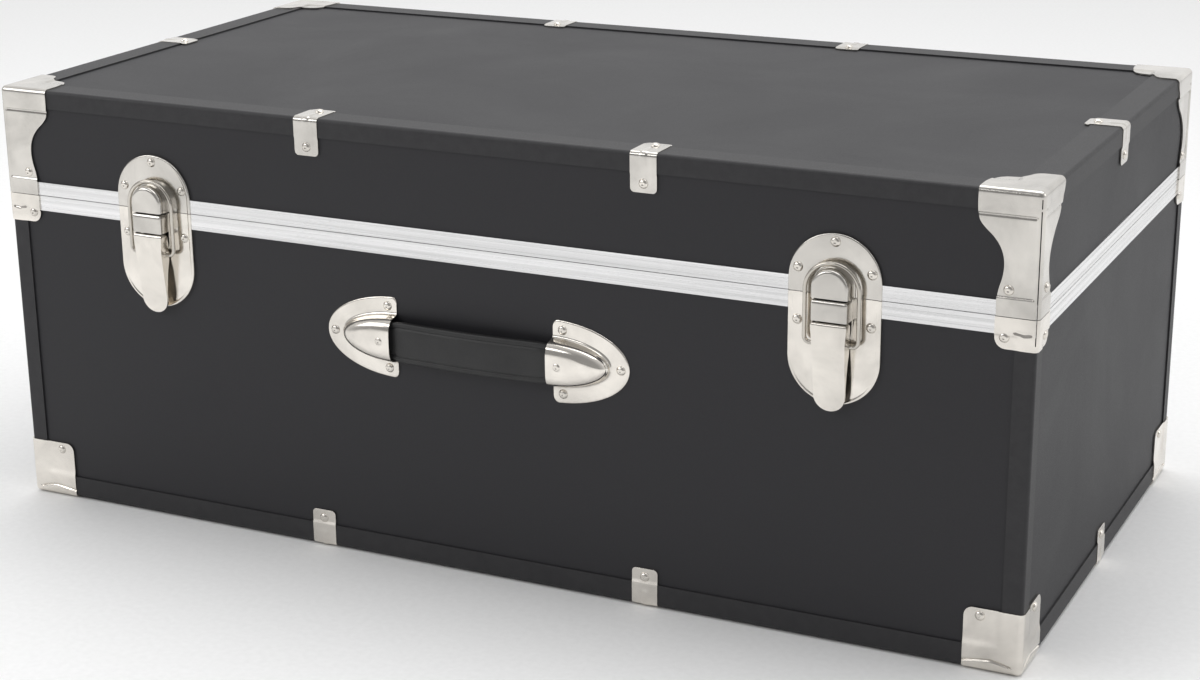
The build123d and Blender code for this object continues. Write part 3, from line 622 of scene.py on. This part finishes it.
def edge_clip(bm, place, leg, flat_leg=22.2):
    """One clip: a strip folded over the edge, with a bead along its middle, into the given mesh."""
    flip = np.linalg.det(np.array(place.to_3x3())) > 0
    legs = np.unique(np.r_[np.linspace(FOLD_MM, CLIP_LEG, 22), CLIP_LEG - CLIP_ROUND * CLIP_EDGE_SHARES])
    path = [(q, 0.0) for q in reversed(legs)]
    for t in np.radians(np.linspace(0, 90, FOLD_STEPS + 1))[1:-1]:
        path.append((FOLD_MM - FOLD_MM * math.sin(t), FOLD_MM - FOLD_MM * math.cos(t)))
    path += [(0.0, q) for q in legs]
    across = np.r_[np.linspace(-1, -0.4, 6), np.linspace(-0.34, 0.34, 12), np.linspace(0.4, 1, 6)]
    rows = []
    for b, c in path:
        short = max(0.0, CLIP_ROUND - (CLIP_LEG - max(b, c)))
        half = CLIP_HALF - (CLIP_ROUND - math.sqrt(max(0.0, CLIP_ROUND**2 - short**2)))
        if c == 0.0:
            inward, limit = Vector((0, 0, 1)), flat_leg
        elif b == 0.0:
            inward, limit = Vector((0, 1, 0)), leg
        else:
            inward, limit = Vector((0, FOLD_MM - b, FOLD_MM - c)).normalized(), leg
        row = []
        for u in across:
            sink = inward * clip_sink(u * half, max(b, c), limit)
            row.append(bm.verts.new(place @ (Vector((u * half, b, c)) + sink)))
        rows.append(row)
    for one, two in zip(rows, rows[1:]):
        for i in range(len(across) - 1):
            corners = [one[i], one[i + 1], two[i + 1], two[i]]
            if not flip:
                corners.reverse()
            bm.faces.new(corners)


def clip_place(x, y, z, angle, z_dir):
    """Matrix for a clip at an edge; its own y runs in over the flat face and its z down the wall."""
    place = Matrix.Rotation(angle, 4, "Z") @ Matrix.Diagonal((1, 1, z_dir, 1)) @ Matrix.Scale(MM, 4)
    place.translation = (x, y, z)
    return place


for name, node, body, z, z_dir, leg, finish in (
    ("lid_clips", "lid_edge_clips", "lid", TOP, -1, 14.2, SHADED_NICKEL),
    ("base_clips", "base_edge_clips", "base", 0.0, 1, 16.7, NICKEL),
):
    bm = bmesh.new()
    for x in (-CLIP_X, CLIP_X):
        edge_clip(bm, clip_place(x, FRONT, z, 0, z_dir), leg)
        edge_clip(bm, clip_place(x, BACK, z, math.pi, z_dir), leg)
    edge_clip(bm, clip_place(HALF_X, MID_Y, z, math.pi / 2, z_dir), leg)
    edge_clip(bm, clip_place(-HALF_X, MID_Y, z, -math.pi / 2, z_dir), leg)
    clips = thicken(new_object(name, bm, finish), *CORNER_SHEET)
    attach(clips, body)
    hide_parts(node)


# ---- latches ----
def front_point(x, out, z):
    """Point on the front: x and height in metres, and millimetres out from the corners' plane."""
    return Vector((x, FRONT - out * MM, z))


def strip_between(bm, loops, closed=False):
    """Quads between loops of vertices of the same count."""
    for a, b in zip(loops, loops[1:]):
        count = len(a) if closed else len(a) - 1
        for i in range(count):
            k = (i + 1) % len(a)
            corners = list(dict.fromkeys([a[i], a[k], b[k], b[i]]))
            if len(corners) > 2:
                bm.faces.new(corners)


def settle_faces(bm):
    """Split the many-sided faces into triangles, and turn all the faces away from the trunk."""
    bmesh.ops.triangulate(bm, faces=[f for f in bm.faces if len(f.verts) > 4])
    bmesh.ops.recalc_face_normals(bm, faces=bm.faces)
    if sum(f.normal.y * f.calc_area() for f in bm.faces) > 0:
        bmesh.ops.reverse_faces(bm, faces=bm.faces)


def half_slot(x, centre, radius, cut, upper, inset, count):
    """Open outline of a plate's round end, from its right foot on the cut over the end to its left foot."""
    r = radius - inset
    sign = 1 if upper else -1
    straight = [(x + r, cut + (centre - cut) * t) for t in np.linspace(0, 1, 9)[:-1]]
    round_end = [
        (x + r * math.cos(t), centre + sign * r * math.sin(t)) for t in np.linspace(0, math.pi, count)
    ]
    back = [(x - r, cut + (centre - cut) * t) for t in np.linspace(1, 0, 9)[1:]]
    return straight + round_end + back


def slot_loops(bm, x, centre, radius, cut, upper, profile, count=56):
    """Surface that follows a plate's round end, with one loop of vertices for each (inset, out)."""
    loops = []
    for inset, out in profile:
        points = half_slot(x, centre, radius, cut, upper, inset * MM, count)
        loops.append([bm.verts.new(front_point(px, out, pz)) for px, pz in points])
    strip_between(bm, loops)
    return loops


CATCH_HALF = 12.7 * MM  # half the catch dome's width
CATCH_TOP = 251.0 * MM
# (inset from the outline, distance out) across a plate's rolled rim, and across the dome's wall
RIM_PROFILE = [
    (0.0, -2.1), (0.0, -1.1), (0.1, -0.72), (0.32, -0.36), (0.66, -0.1), (1.05, 0.0), (1.5, -0.03),
    (2.0, -0.18), (2.5, -0.34), (3.1, -0.4),
]
DOME_PROFILE = [
    (-2.2, -0.4), (-1.5, -0.36), (-0.9, -0.15), (-0.45, 0.25), (-0.15, 0.9), (0.0, 1.8), (0.05, 3.5),
    (0.15, 5.5), (0.25, 7.2), (0.45, 8.2), (0.85, 9.1), (1.4, 9.65), (2.1, 9.92), (2.8, 10.0),
]


def latch_keeper(side, x, low, high):
    """Upper half of the plate, with the catch dome pressed out of it."""
    radius = (high.x - low.x) / 2
    centre = high.z - radius
    bm = bmesh.new()
    rim = slot_loops(bm, x, centre, radius, LID_LOW, True, RIM_PROFILE)
    dome = slot_loops(bm, x, CATCH_TOP - CATCH_HALF, CATCH_HALF, LID_LOW, True, DOME_PROFILE, 40)
    bm.faces.new(list(reversed(rim[-1])) + dome[0])
    bm.faces.new(list(reversed(dome[-1])))
    settle_faces(bm)
    piece = thicken(new_object(f"keeper_plate_{side}", bm, SHADED_NICKEL), *PLATE_SHEET)
    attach(piece, "lid")
    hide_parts(f"latch_keeper_{side}")


def latch_plate(side, x, low, high):
    """Lower half of the plate."""
    radius = (high.x - low.x) / 2
    centre = low.z + radius
    bm = bmesh.new()
    rim = slot_loops(bm, x, centre, radius, BASE_TOP, False, RIM_PROFILE)
    bm.faces.new(rim[-1])
    settle_faces(bm)
    piece = thicken(new_object(f"base_plate_{side}", bm, NICKEL), *PLATE_SHEET)
    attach(piece, "base")
    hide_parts(f"latch_plate_{side}")


def slab(bm, profile, x_low, x_high):
    """Flat plate across X with a side outline of (out, height) points."""
    near = [bm.verts.new(front_point(x_low, out, z * MM)) for out, z in profile]
    far = [bm.verts.new(front_point(x_high, out, z * MM)) for out, z in profile]
    bm.faces.new(near)
    bm.faces.new(list(reversed(far)))
    for i in range(len(profile)):
        k = (i + 1) % len(profile)
        bm.faces.new([near[k], near[i], far[i], far[k]])


def round_tube(bm, centres, radius, segments):
    """Tube along a path of points, with flat ends."""
    tangents = [(b - a).normalized() for a, b in zip(centres, centres[1:])]
    middle = [(a + b).normalized() for a, b in zip(tangents, tangents[1:])]
    tangents = [tangents[0]] + middle + [tangents[-1]]
    normal = tangents[0].orthogonal().normalized()
    turns = [2 * math.pi * i / segments for i in range(segments)]
    rings = []
    for centre, tangent in zip(centres, tangents):
        normal = (normal - tangent * normal.dot(tangent)).normalized()
        other = tangent.cross(normal)
        rings.append(
            [bm.verts.new(centre + (normal * math.cos(t) + other * math.sin(t)) * radius) for t in turns]
        )
    strip_between(bm, rings, closed=True)
    bm.faces.new(list(reversed(rings[0])))
    bm.faces.new(rings[-1])


PIVOT = 6.5, 213.0  # the lever's pin: out and height
LUG_NOSE = 2.2  # radius of a lug round the pin
LUGS = (-9.8, 8.6)  # each lug's left face
LUG_THICK = 1.2
BACK_FOOT = -0.6, 205.0  # foot of the bracket's back
# (height, inset of the outline) up the bracket
BRACKET_ROWS = (
    (217.7, 0.0), (218.0, 0.0), (221.0, 0.0), (227.5, 0.0), (228.6, 0.05), (229.2, 0.18), (230.0, 0.5),
    (230.6, 0.95), (230.85, 1.3), (230.95, 2.0),
)


def latch_bracket(side, x):
    """Folded bracket that the lever hangs from: a U of sheet with a closed top and two lugs."""
    bm = bmesh.new()
    half, out, corner = 12.0, 10.0, 1.6
    plan = [(-half, 0.3), (-half, 3.0), (-half, 6.0)]
    plan += [(-half + corner - px, out - corner + py) for px, py in arc((0, 0), corner, 0, 90, 7)]
    plan += [(px, out) for px in np.linspace(-8, 8, 9)]
    plan += [(half - corner + px, out - corner + py) for px, py in reversed(arc((0, 0), corner, 0, 90, 7))]
    plan += [(half, 6.0), (half, 3.0), (half, 0.3)]
    rows = []
    for z, inset in BRACKET_ROWS:
        row = []
        for px, py in plan:
            scale_x = (half - inset) / half
            depth = min(py, out - inset) if inset else py
            row.append(bm.verts.new(front_point(x + px * scale_x * MM, depth, z * MM)))
        rows.append(row)
    strip_between(bm, rows)
    bm.faces.new(rows[-1])
    settle_faces(bm)
    # The bracket takes the darker copy of the nickel, which is painted shade
    piece = new_object(f"lever_bracket_{side}", bm, SHADED_NICKEL)
    thicken(piece, *BRACKET_SHEET)
    lugs = bmesh.new()
    lugs.from_mesh(piece.data)
    half_turn = np.linspace(0, math.pi, 9)
    nose = [(PIVOT[0] + LUG_NOSE * math.sin(t), PIVOT[1] + LUG_NOSE * math.cos(t)) for t in half_turn]
    side_outline = [BACK_FOOT, (BACK_FOOT[0], 211.0)] + nose
    for lug in LUGS:
        slab(lugs, side_outline, x + lug * MM, x + (lug + LUG_THICK) * MM)
    web = [BACK_FOOT, (BACK_FOOT[0], 230.8), (0.5, 230.8), (0.8, 205.6), (0.6, 205.0)]
    slab(lugs, web, x - 11.9 * MM, x + 11.9 * MM)
    lugs.to_mesh(piece.data)
    lugs.free()
    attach(piece, "base")
    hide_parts(f"latch_bracket_{side}")


LEVER_TAIL_HALF = 10.4
LEVER_TAIL = 158.4
LEVER_SHOULDER = 214.6
# heights up the lever, with its half-width, its front and its flanges' back edge there
LEVER_WIDTHS = (
    [168.8, 190, 204, 209, 212.5, LEVER_SHOULDER],
    [LEVER_TAIL_HALF, 10.6, 10.9, 11.3, 11.6, 11.7],
)
LEVER_FRONT = ([LEVER_TAIL, 165, 203.5, 206.5, 216], [4.5, 5.3, 9.85, 10.0, 10.0])
LEVER_BACK = (
    [LEVER_TAIL, 160, 174, 188, 196.5, 205, 213, 215.3, 216.1, 216.7],
    [3.1, 3.2, 4.7, 2.8, 0.75, 0.75, 2.4, 3.1, 4.2, 5.2],
)
LEVER_CROWN = [(8.3, 216.7, 10.95), (9.3, 216.1, 11.2), (9.85, 215.35, 11.5)]  # out, height, half-width


def lever_out(z):
    """How far the lever's front stands out at a height."""
    return float(np.interp(z, *LEVER_FRONT))


def lever_back(z):
    """Back edge of the lever's side flanges at a height."""
    return float(np.interp(z, *LEVER_BACK))


def latch_lever(side, x):
    """Sheet-metal lever: a tapering front with a round tail, flanges along its sides and a rolled top."""
    tail_centre = LEVER_TAIL + LEVER_TAIL_HALF
    stations = [(z, np.interp(z, *LEVER_WIDTHS)) for z in np.linspace(LEVER_SHOULDER, tail_centre, 34)]
    for t in np.linspace(0, math.pi / 2, 15)[1:]:
        half = max(LEVER_TAIL_HALF * math.cos(t), 0.001)
        stations.append((tail_centre - LEVER_TAIL_HALF * math.sin(t), half))
    bm = bmesh.new()
    spans = np.linspace(-1, 1, 15)
    rows = []
    for out, z, half in LEVER_CROWN:
        rows.append([bm.verts.new(front_point(x + s * half * MM, out, z * MM)) for s in spans])
    for z, half in stations:
        belly = 0.12 if z > tail_centre else 0.0
        row = []
        for s in spans:
            dent = 0.35 * math.exp(-(((s * half - 7.2) / 1.3) ** 2) - ((z - 166.5) / 1.8) ** 2)
            out = lever_out(z) - belly * s * s - dent
            row.append(bm.verts.new(front_point(x + s * half * MM, out, z * MM)))
        rows.append(row)
    strip_between(bm, rows)
    levels = [(z, out) for out, z, _ in LEVER_CROWN] + [(z, lever_out(z)) for z, _ in stations]
    for index in (0, -1):
        wall = []
        for row, (z, front) in zip(rows, levels):
            edge = row[index]
            depths = [front - (front - lever_back(z)) * t for t in (0.5, 1.0)]
            wall.append([edge] + [bm.verts.new(front_point(edge.co.x, d, z * MM)) for d in depths])
        strip_between(bm, wall)
    bmesh.ops.remove_doubles(bm, verts=bm.verts, dist=0.02 * MM)
    settle_faces(bm)
    piece = new_object(f"lever_plate_{side}", bm, NICKEL)
    thicken(piece, *LEVER_SHEET)
    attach(piece, f"lever_{side}")
    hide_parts(f"latch_lever_{side}")


LOOP_TOP = 253.3
WIRE_RADIUS = 1.4


def latch_loop(side, x):
    """Wire loop: its ends turn in to the barrel and its round top lies over the catch dome."""
    out, half, bend, foot = 4.0, 17.6, 4.0, 201.5
    path = [(9.0, foot), (11.0, foot)]
    path += arc((half - bend, foot + bend), bend, -90, 0, 12)
    path += [(half, z) for z in np.linspace(foot + bend, LOOP_TOP - half, 9)[1:-1]]
    leg = [(-px, pz) for px, pz in reversed(path)]
    path += arc((0, LOOP_TOP - half), half, 0, 180, 41) + leg
    bm = bmesh.new()
    round_tube(bm, [front_point(x + px * MM, out, pz * MM) for px, pz in path], WIRE_RADIUS * MM, 18)
    bmesh.ops.recalc_face_normals(bm, faces=bm.faces)
    piece = new_object(f"wire_loop_{side}", bm, WIRE)
    soften(piece, 0.25 * MM, 2, 60)
    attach(piece, f"loop_{side}")
    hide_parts(f"latch_loop_{side}")


for side in ("left", "right"):
    keeper_low, keeper_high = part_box(f"latch_keeper_{side}")
    plate_low, plate_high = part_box(f"latch_plate_{side}")
    latch_middle = (keeper_low.x + keeper_high.x) / 2
    latch_keeper(side, latch_middle, keeper_low, keeper_high)
    latch_plate(side, latch_middle, plate_low, plate_high)
    latch_bracket(side, latch_middle)
    latch_lever(side, latch_middle)
    latch_loop(side, latch_middle)


# ---- carrying handle ----
HANDLE_Z = 162.8
CAP_INNER = 59.0
CAP_TIP = 55.0  # length of the cap's plate beyond its opening
CAP_HALF = 28.75
CAP_OUT = -1.2  # the plate's face, against the corner caps' plane
DOME_LONG = 41.0
DOME_HALF = 16.0
DOME_RISE = 12.1
CAP_CORNER = 4.0


def dome_height(rho):
    """Height of the dome over its plate, from its middle at 0 to its foot at 1."""
    return DOME_RISE * max(0.0, 1 - rho**4.2) ** (1 / 2.6)


def handle_cap(side, sx):
    """Half-oval plate with the dome that holds the strap pressed out of it, open at its inner end."""
    bm = bmesh.new()
    turn = arc((CAP_CORNER, -CAP_HALF + CAP_CORNER), CAP_CORNER, 180, 263, 11)
    sweep = np.radians(np.linspace(-85, 85, 73))
    outline = turn + [(CAP_TIP * math.cos(t), CAP_HALF * math.sin(t)) for t in sweep]
    outline = np.array(outline + [(px, -pz) for px, pz in reversed(turn)])
    angles = np.radians(np.r_[np.linspace(-90, -85.5, 11), np.degrees(sweep), np.linspace(85.5, 90, 11)])
    tangent = np.gradient(outline, axis=0)
    inward = np.stack([-tangent[:, 1], tangent[:, 0]], 1)
    inward /= np.linalg.norm(inward, axis=1)[:, None]
    settle = smooth_step(np.arange(len(outline)), 0, 10)
    settle = settle * settle[::-1]
    upright = np.stack([0 * settle, -np.sign(outline[:, 1])], 1)
    inward = inward * settle[:, None] + upright * (1 - settle)[:, None]
    foot_long, foot_half = DOME_LONG + 2.6, DOME_HALF + 2.2
    foot = np.stack([foot_long * np.cos(angles), foot_half * np.sin(angles)], 1)

    def ring(points, outs):
        """One loop of the cap's surface, each of its points at its own distance out."""
        outs = np.broadcast_to(outs, len(points))
        return [
            bm.verts.new(front_point(sx * (CAP_INNER + px) * MM, out, (HANDLE_Z + pz) * MM))
            for (px, pz), out in zip(points, outs)
        ]

    loops = []
    for rho in (0.04, 0.25, 0.45, 0.6, 0.7, 0.78, 0.84, 0.89, 0.93, 0.958, 0.978, 0.99):
        points = np.stack([DOME_LONG * rho * np.cos(angles), DOME_HALF * rho * np.sin(angles)], 1)
        nose = 1 - 0.1 * rho * np.cos(angles) ** 2
        heights = CAP_OUT + dome_height(rho) * nose
        loops.append(ring(points, heights))
    base = np.stack([DOME_LONG * np.cos(angles), DOME_HALF * np.sin(angles)], 1)
    for grow, out in ((0.0, 1.7), (0.18, 0.7), (0.5, -0.1), (1.1, -0.75), (1.8, -1.08)):
        share = grow / 2.4
        loops.append(ring(base * (1 - share) + foot * share, out + CAP_OUT + 1.2))
    loops.append(ring(foot, CAP_OUT))
    for share in (0.25, 0.5, 0.75):
        loops.append(ring(foot * (1 - share) + outline * share, CAP_OUT))
    for inset, drop in ((1.3, 0.0), (0.8, 0.05), (0.4, 0.2), (0.12, 0.45), (0.0, 0.8)):
        loops.append(ring(outline + inward * inset, CAP_OUT - drop))
    strip_between(bm, loops)
    pole = bm.verts.new(front_point(sx * CAP_INNER * MM, CAP_OUT + dome_height(0.0), HANDLE_Z * MM))
    for i in range(len(outline) - 1):
        bm.faces.new([pole, loops[0][i + 1], loops[0][i]])
    settle_faces(bm)
    piece = new_object(f"strap_cap_{side}", bm, NICKEL)
    thicken(piece, *CAP_SHEET)
    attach(piece, "base")
    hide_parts(f"handle_cap_{side}")


STRAP_HALF = 14.1
STRAP_BOW = 2.6
STRAP_LENGTH = 75.0
# (distance in from the strap's edge, depth under its face) over the rounded edge and the embossed border
STRAP_EDGE = [
    (0.0, 2.0), (0.12, 1.3), (0.5, 0.75), (1.1, 0.5), (2.2, 0.35), (3.1, 0.42), (3.45, 0.85), (3.8, 0.85),
    (4.2, 0.3), (5.8, 0.05),
]


def strap_section(x):
    """Outline of the strap at a distance from its middle: (out, height) pairs, counter-clockwise."""
    tuck = float(smooth_step(abs(x), 50, 62))
    half = STRAP_HALF - 1.2 * tuck
    bow = STRAP_BOW * math.cos(math.pi * min(abs(x), CAP_INNER) / (2 * CAP_INNER))
    back = 2.5 + bow
    front = 7.5 + bow - 0.9 * tuck
    face = [(px - half, front - drop) for px, drop in STRAP_EDGE] + [(-5.0, front), (0.0, front)]
    face += [(-px, py) for px, py in reversed(face[:-1])]
    corner = [(half, back + 1.6), (half - 0.3, back + 0.6), (half - 1.2, back), (5.0, back)]
    rear = corner + [(-px, py) for px, py in reversed(corner)]
    return [(out, z) for z, out in face + rear]


def strap_half(side, sx):
    """One half of the strap, which bends where it leaves its cap."""
    bm = bmesh.new()
    rings = [
        [bm.verts.new(front_point(sx * s * MM, out, (HANDLE_Z + z) * MM)) for out, z in strap_section(s)]
        for s in np.linspace(0, STRAP_LENGTH, 76)
    ]
    strip_between(bm, rings, closed=True)
    bm.faces.new(rings[-1])
    bmesh.ops.triangulate(bm, faces=[f for f in bm.faces if len(f.verts) > 4])
    bmesh.ops.recalc_face_normals(bm, faces=bm.faces)
    belt = new_object(f"strap_{side}", bm, STRAP)
    # the face along the strap's middle has to look away from the trunk
    face = [p for p in belt.data.polygons if abs(p.center.z - HANDLE_Z * MM) < 5 * MM]
    face = [p for p in face if p.center.y < FRONT - 5 * MM]
    if sum(p.normal.y * p.area for p in face) > 0:
        belt.data.flip_normals()
    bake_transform(belt)
    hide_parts(f"strap_end_{side}", "strap_grip")


for side, sx in SIDES:
    handle_cap(side, sx)
    strap_half(side, sx)


# ---- rivets ----
RIVET_SIDES = 24
# (radius, height over the sheet) from the dimple in the middle to the foot
RIVET_PROFILE = [
    (0.0, 1.32), (0.35, 1.33), (0.7, 1.42), (1.0, 1.53), (1.35, 1.56), (1.8, 1.46), (2.3, 1.2), (2.8, 0.8),
    (3.15, 0.38), (3.32, 0.0), (3.36, -0.35),
]


def islands(node):
    """(middle of the foot, outward direction) of every rivet in a CAD node."""
    bm = bmesh.new()
    bm.from_mesh(node.data)
    bm.transform(node.matrix_world)
    bmesh.ops.remove_doubles(bm, verts=bm.verts, dist=1e-5)
    left = set(bm.verts)
    found = []
    while left:
        group, queue = set(), [left.pop()]
        while queue:
            v = queue.pop()
            group.add(v)
            for e in v.link_edges:
                o = e.other_vert(v)
                if o in left:
                    left.discard(o)
                    queue.append(o)
        co = np.array([v.co for v in group])
        low, high = co.min(0), co.max(0)
        size = high - low
        k = int(np.argmin(size))
        foot, direction = (low + high) / 2, np.zeros(3)
        direction[k] = 1 if foot[k] > (0, MID_Y, 0)[k] else -1
        foot[k] = low[k] if direction[k] > 0 else high[k]
        found.append((Vector(foot), Vector(direction)))
    bm.free()
    found.sort(key=lambda item: tuple(round(v, 5) for v in item[0]))
    return found


# heights of the rivet rows on the lid, rim and bottom corners, and a clip's distance from its edge
LID_ROW, RIM_ROW, BOTTOM_ROW, CLIP_ROW = 248.5, 219, 37, 21
ROW_REACH = 2
CORNER_REACH = 32  # a corner's rivets are nearer than this to its upright edge
PLATE_SINK = 0.4  # a latch plate's or cap's face behind its rim


def rivet_sink(foot, direction):
    """How far the sheet under a rivet has stepped down, in millimetres."""
    if direction.z > 0.5:
        return BEAD_SINK
    on_front = abs(direction.y) > 0.5
    p = ((HALF_X - abs(foot.x)) if on_front else min(foot.y - FRONT, BACK - foot.y)) / MM
    from_top, height = (TOP - foot.z) / MM, foot.z / MM
    plane = abs(foot.y - MID_Y) - (BACK - FRONT) / 2 if on_front else abs(foot.x) - HALF_X
    if abs(plane) > 0.3 * MM:
        return 0.0
    from_rim = (BASE_TOP - foot.z) / MM
    for row, press, q in (
        (LID_ROW, lid_press, from_top), (RIM_ROW, rim_press, from_rim), (BOTTOM_ROW, bottom_press, height)
    ):
        if p < CORNER_REACH and abs(height - row) < ROW_REACH:
            return float(press(np.array([p]), np.array([q]), on_front)[0])
    if min(abs(height - CLIP_ROW), abs(from_top - CLIP_ROW)) < ROW_REACH:
        return CLIP_STEP
    return PLATE_SINK if on_front and foot.y < MID_Y else 0.0


for body, name in (("base", "base_rivets"), ("lid", "lid_rivets")):
    bm = bmesh.new()
    for foot, direction in islands(frame["nodes"][name]):
        foot = foot - direction * rivet_sink(foot, direction) * MM
        u = direction.orthogonal().normalized()
        v = direction.cross(u)
        turns = np.linspace(0, 2 * math.pi, RIVET_SIDES + 1)[:-1]
        spokes = [u * math.cos(t) + v * math.sin(t) for t in turns]
        rings = []
        for radius, rise in RIVET_PROFILE[1:]:
            centre = foot + direction * rise * MM
            rings.append([bm.verts.new(centre + spoke * radius * MM) for spoke in spokes])
        strip_between(bm, rings, closed=True)
        top = bm.verts.new(foot + direction * RIVET_PROFILE[0][1] * MM)
        for i in range(RIVET_SIDES):
            bm.faces.new([top, rings[0][i], rings[0][(i + 1) % RIVET_SIDES]])
        bm.faces.new(rings[-1])
    bmesh.ops.recalc_face_normals(bm, faces=bm.faces)
    heads = new_object(f"{body}_rivet_heads", bm, RIVET)
    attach(heads, body)
    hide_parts(name)


# ---- floor, light and camera ----
FLOOR_Z = -0.0004
FLOOR_HALF = 12
# strength of the room's white against the Y of its direction
ROOM_LIGHT = (("From Min", -0.75), ("From Max", 0.35), ("To Min", 0.30), ("To Max", 1.0))
# name, place, aim, width, power and height of each soft box
SOFT_BOXES = (
    ("overhead", (0.1, 0.3, 2.4), (0, 0.05, 0.3), 2.4, 22, 1.5),
    ("front_left", (-2.0, -1.8, 1.7), (0, 0, 0.15), 1.3, 14, 1.3),
    ("front_high", (-1.1, -2.4, 2.0), (0, 0, 0.2), 1.2, 7, 0.5),
    ("right_side", (2.4, 0.3, 1.4), (0, 0, 0.15), 1.2, 5.5, 1.2),
)
CAMERA_ANGLES = (25.88, 18.03, -0.543)  # azimuth, elevation and roll in degrees
CAMERA_AT = (0.7163, -1.4788, 0.6465)
CAMERA_LENS = 69.67


def floor():
    n = Nodes("floor_paint")
    n.set("Base Color", n.tones(n.noise(220, 3), 0.3, 0.7, *FLOOR_TONES))
    n.set("Roughness", 0.7)
    bm = bmesh.new()
    bmesh.ops.create_grid(bm, x_segments=1, y_segments=1, size=FLOOR_HALF)
    made = new_object("floor", bm, n.material, smooth=False)
    made.location.z = FLOOR_Z


def area_light(name, at, look, width, power, height):
    data = bpy.data.lights.new(name, "AREA")
    data.energy = power
    data.shape = "RECTANGLE"
    data.size, data.size_y = width, height
    made = bpy.data.objects.new(name, data)
    made.location = at
    made.rotation_euler = (Vector(look) - Vector(at)).to_track_quat("-Z", "Y").to_euler()
    bpy.context.scene.collection.objects.link(made)


def studio():
    """White room that is darker towards the viewer, with soft boxes above and in front."""
    bpy.context.scene.view_settings.view_transform = "Standard"
    world = bpy.data.worlds.new("studio")
    bpy.context.scene.world = world
    world.use_nodes = True
    tree = world.node_tree
    coords = tree.nodes.new("ShaderNodeTexCoord")
    axes = tree.nodes.new("ShaderNodeSeparateXYZ")
    ramp = tree.nodes.new("ShaderNodeMapRange")
    for label, value in ROOM_LIGHT:
        ramp.inputs[label].default_value = value
    tree.links.new(coords.outputs["Generated"], axes.inputs[0])
    tree.links.new(axes.outputs["Y"], ramp.inputs["Value"])
    background = tree.nodes["Background"]
    background.inputs["Color"].default_value = (1.0, 1.0, 1.0, 1)
    tree.links.new(ramp.outputs["Result"], background.inputs["Strength"])
    for box in SOFT_BOXES:
        area_light(*box)


def camera():
    azimuth, elevation, roll = (math.radians(v) for v in CAMERA_ANGLES)
    data = bpy.data.cameras.new("camera")
    data.lens = CAMERA_LENS
    data.sensor_width = 36
    data.clip_end = 60
    made = bpy.data.objects.new("camera", data)
    level = Vector((-math.sin(azimuth), math.cos(azimuth), 0))
    forward = level * math.cos(elevation) - Vector((0, 0, math.sin(elevation)))
    right = Vector((math.cos(azimuth), math.sin(azimuth), 0))
    up = right.cross(forward)
    tilted_right = right * math.cos(roll) + up * math.sin(roll)
    tilted_up = up * math.cos(roll) - right * math.sin(roll)
    turned = Matrix((tilted_right, tilted_up, -forward)).transposed()
    made.matrix_world = Matrix.Translation(CAMERA_AT) @ turned.to_4x4()
    bpy.context.scene.collection.objects.link(made)
    bpy.context.scene.camera = made


floor()
studio()
camera()
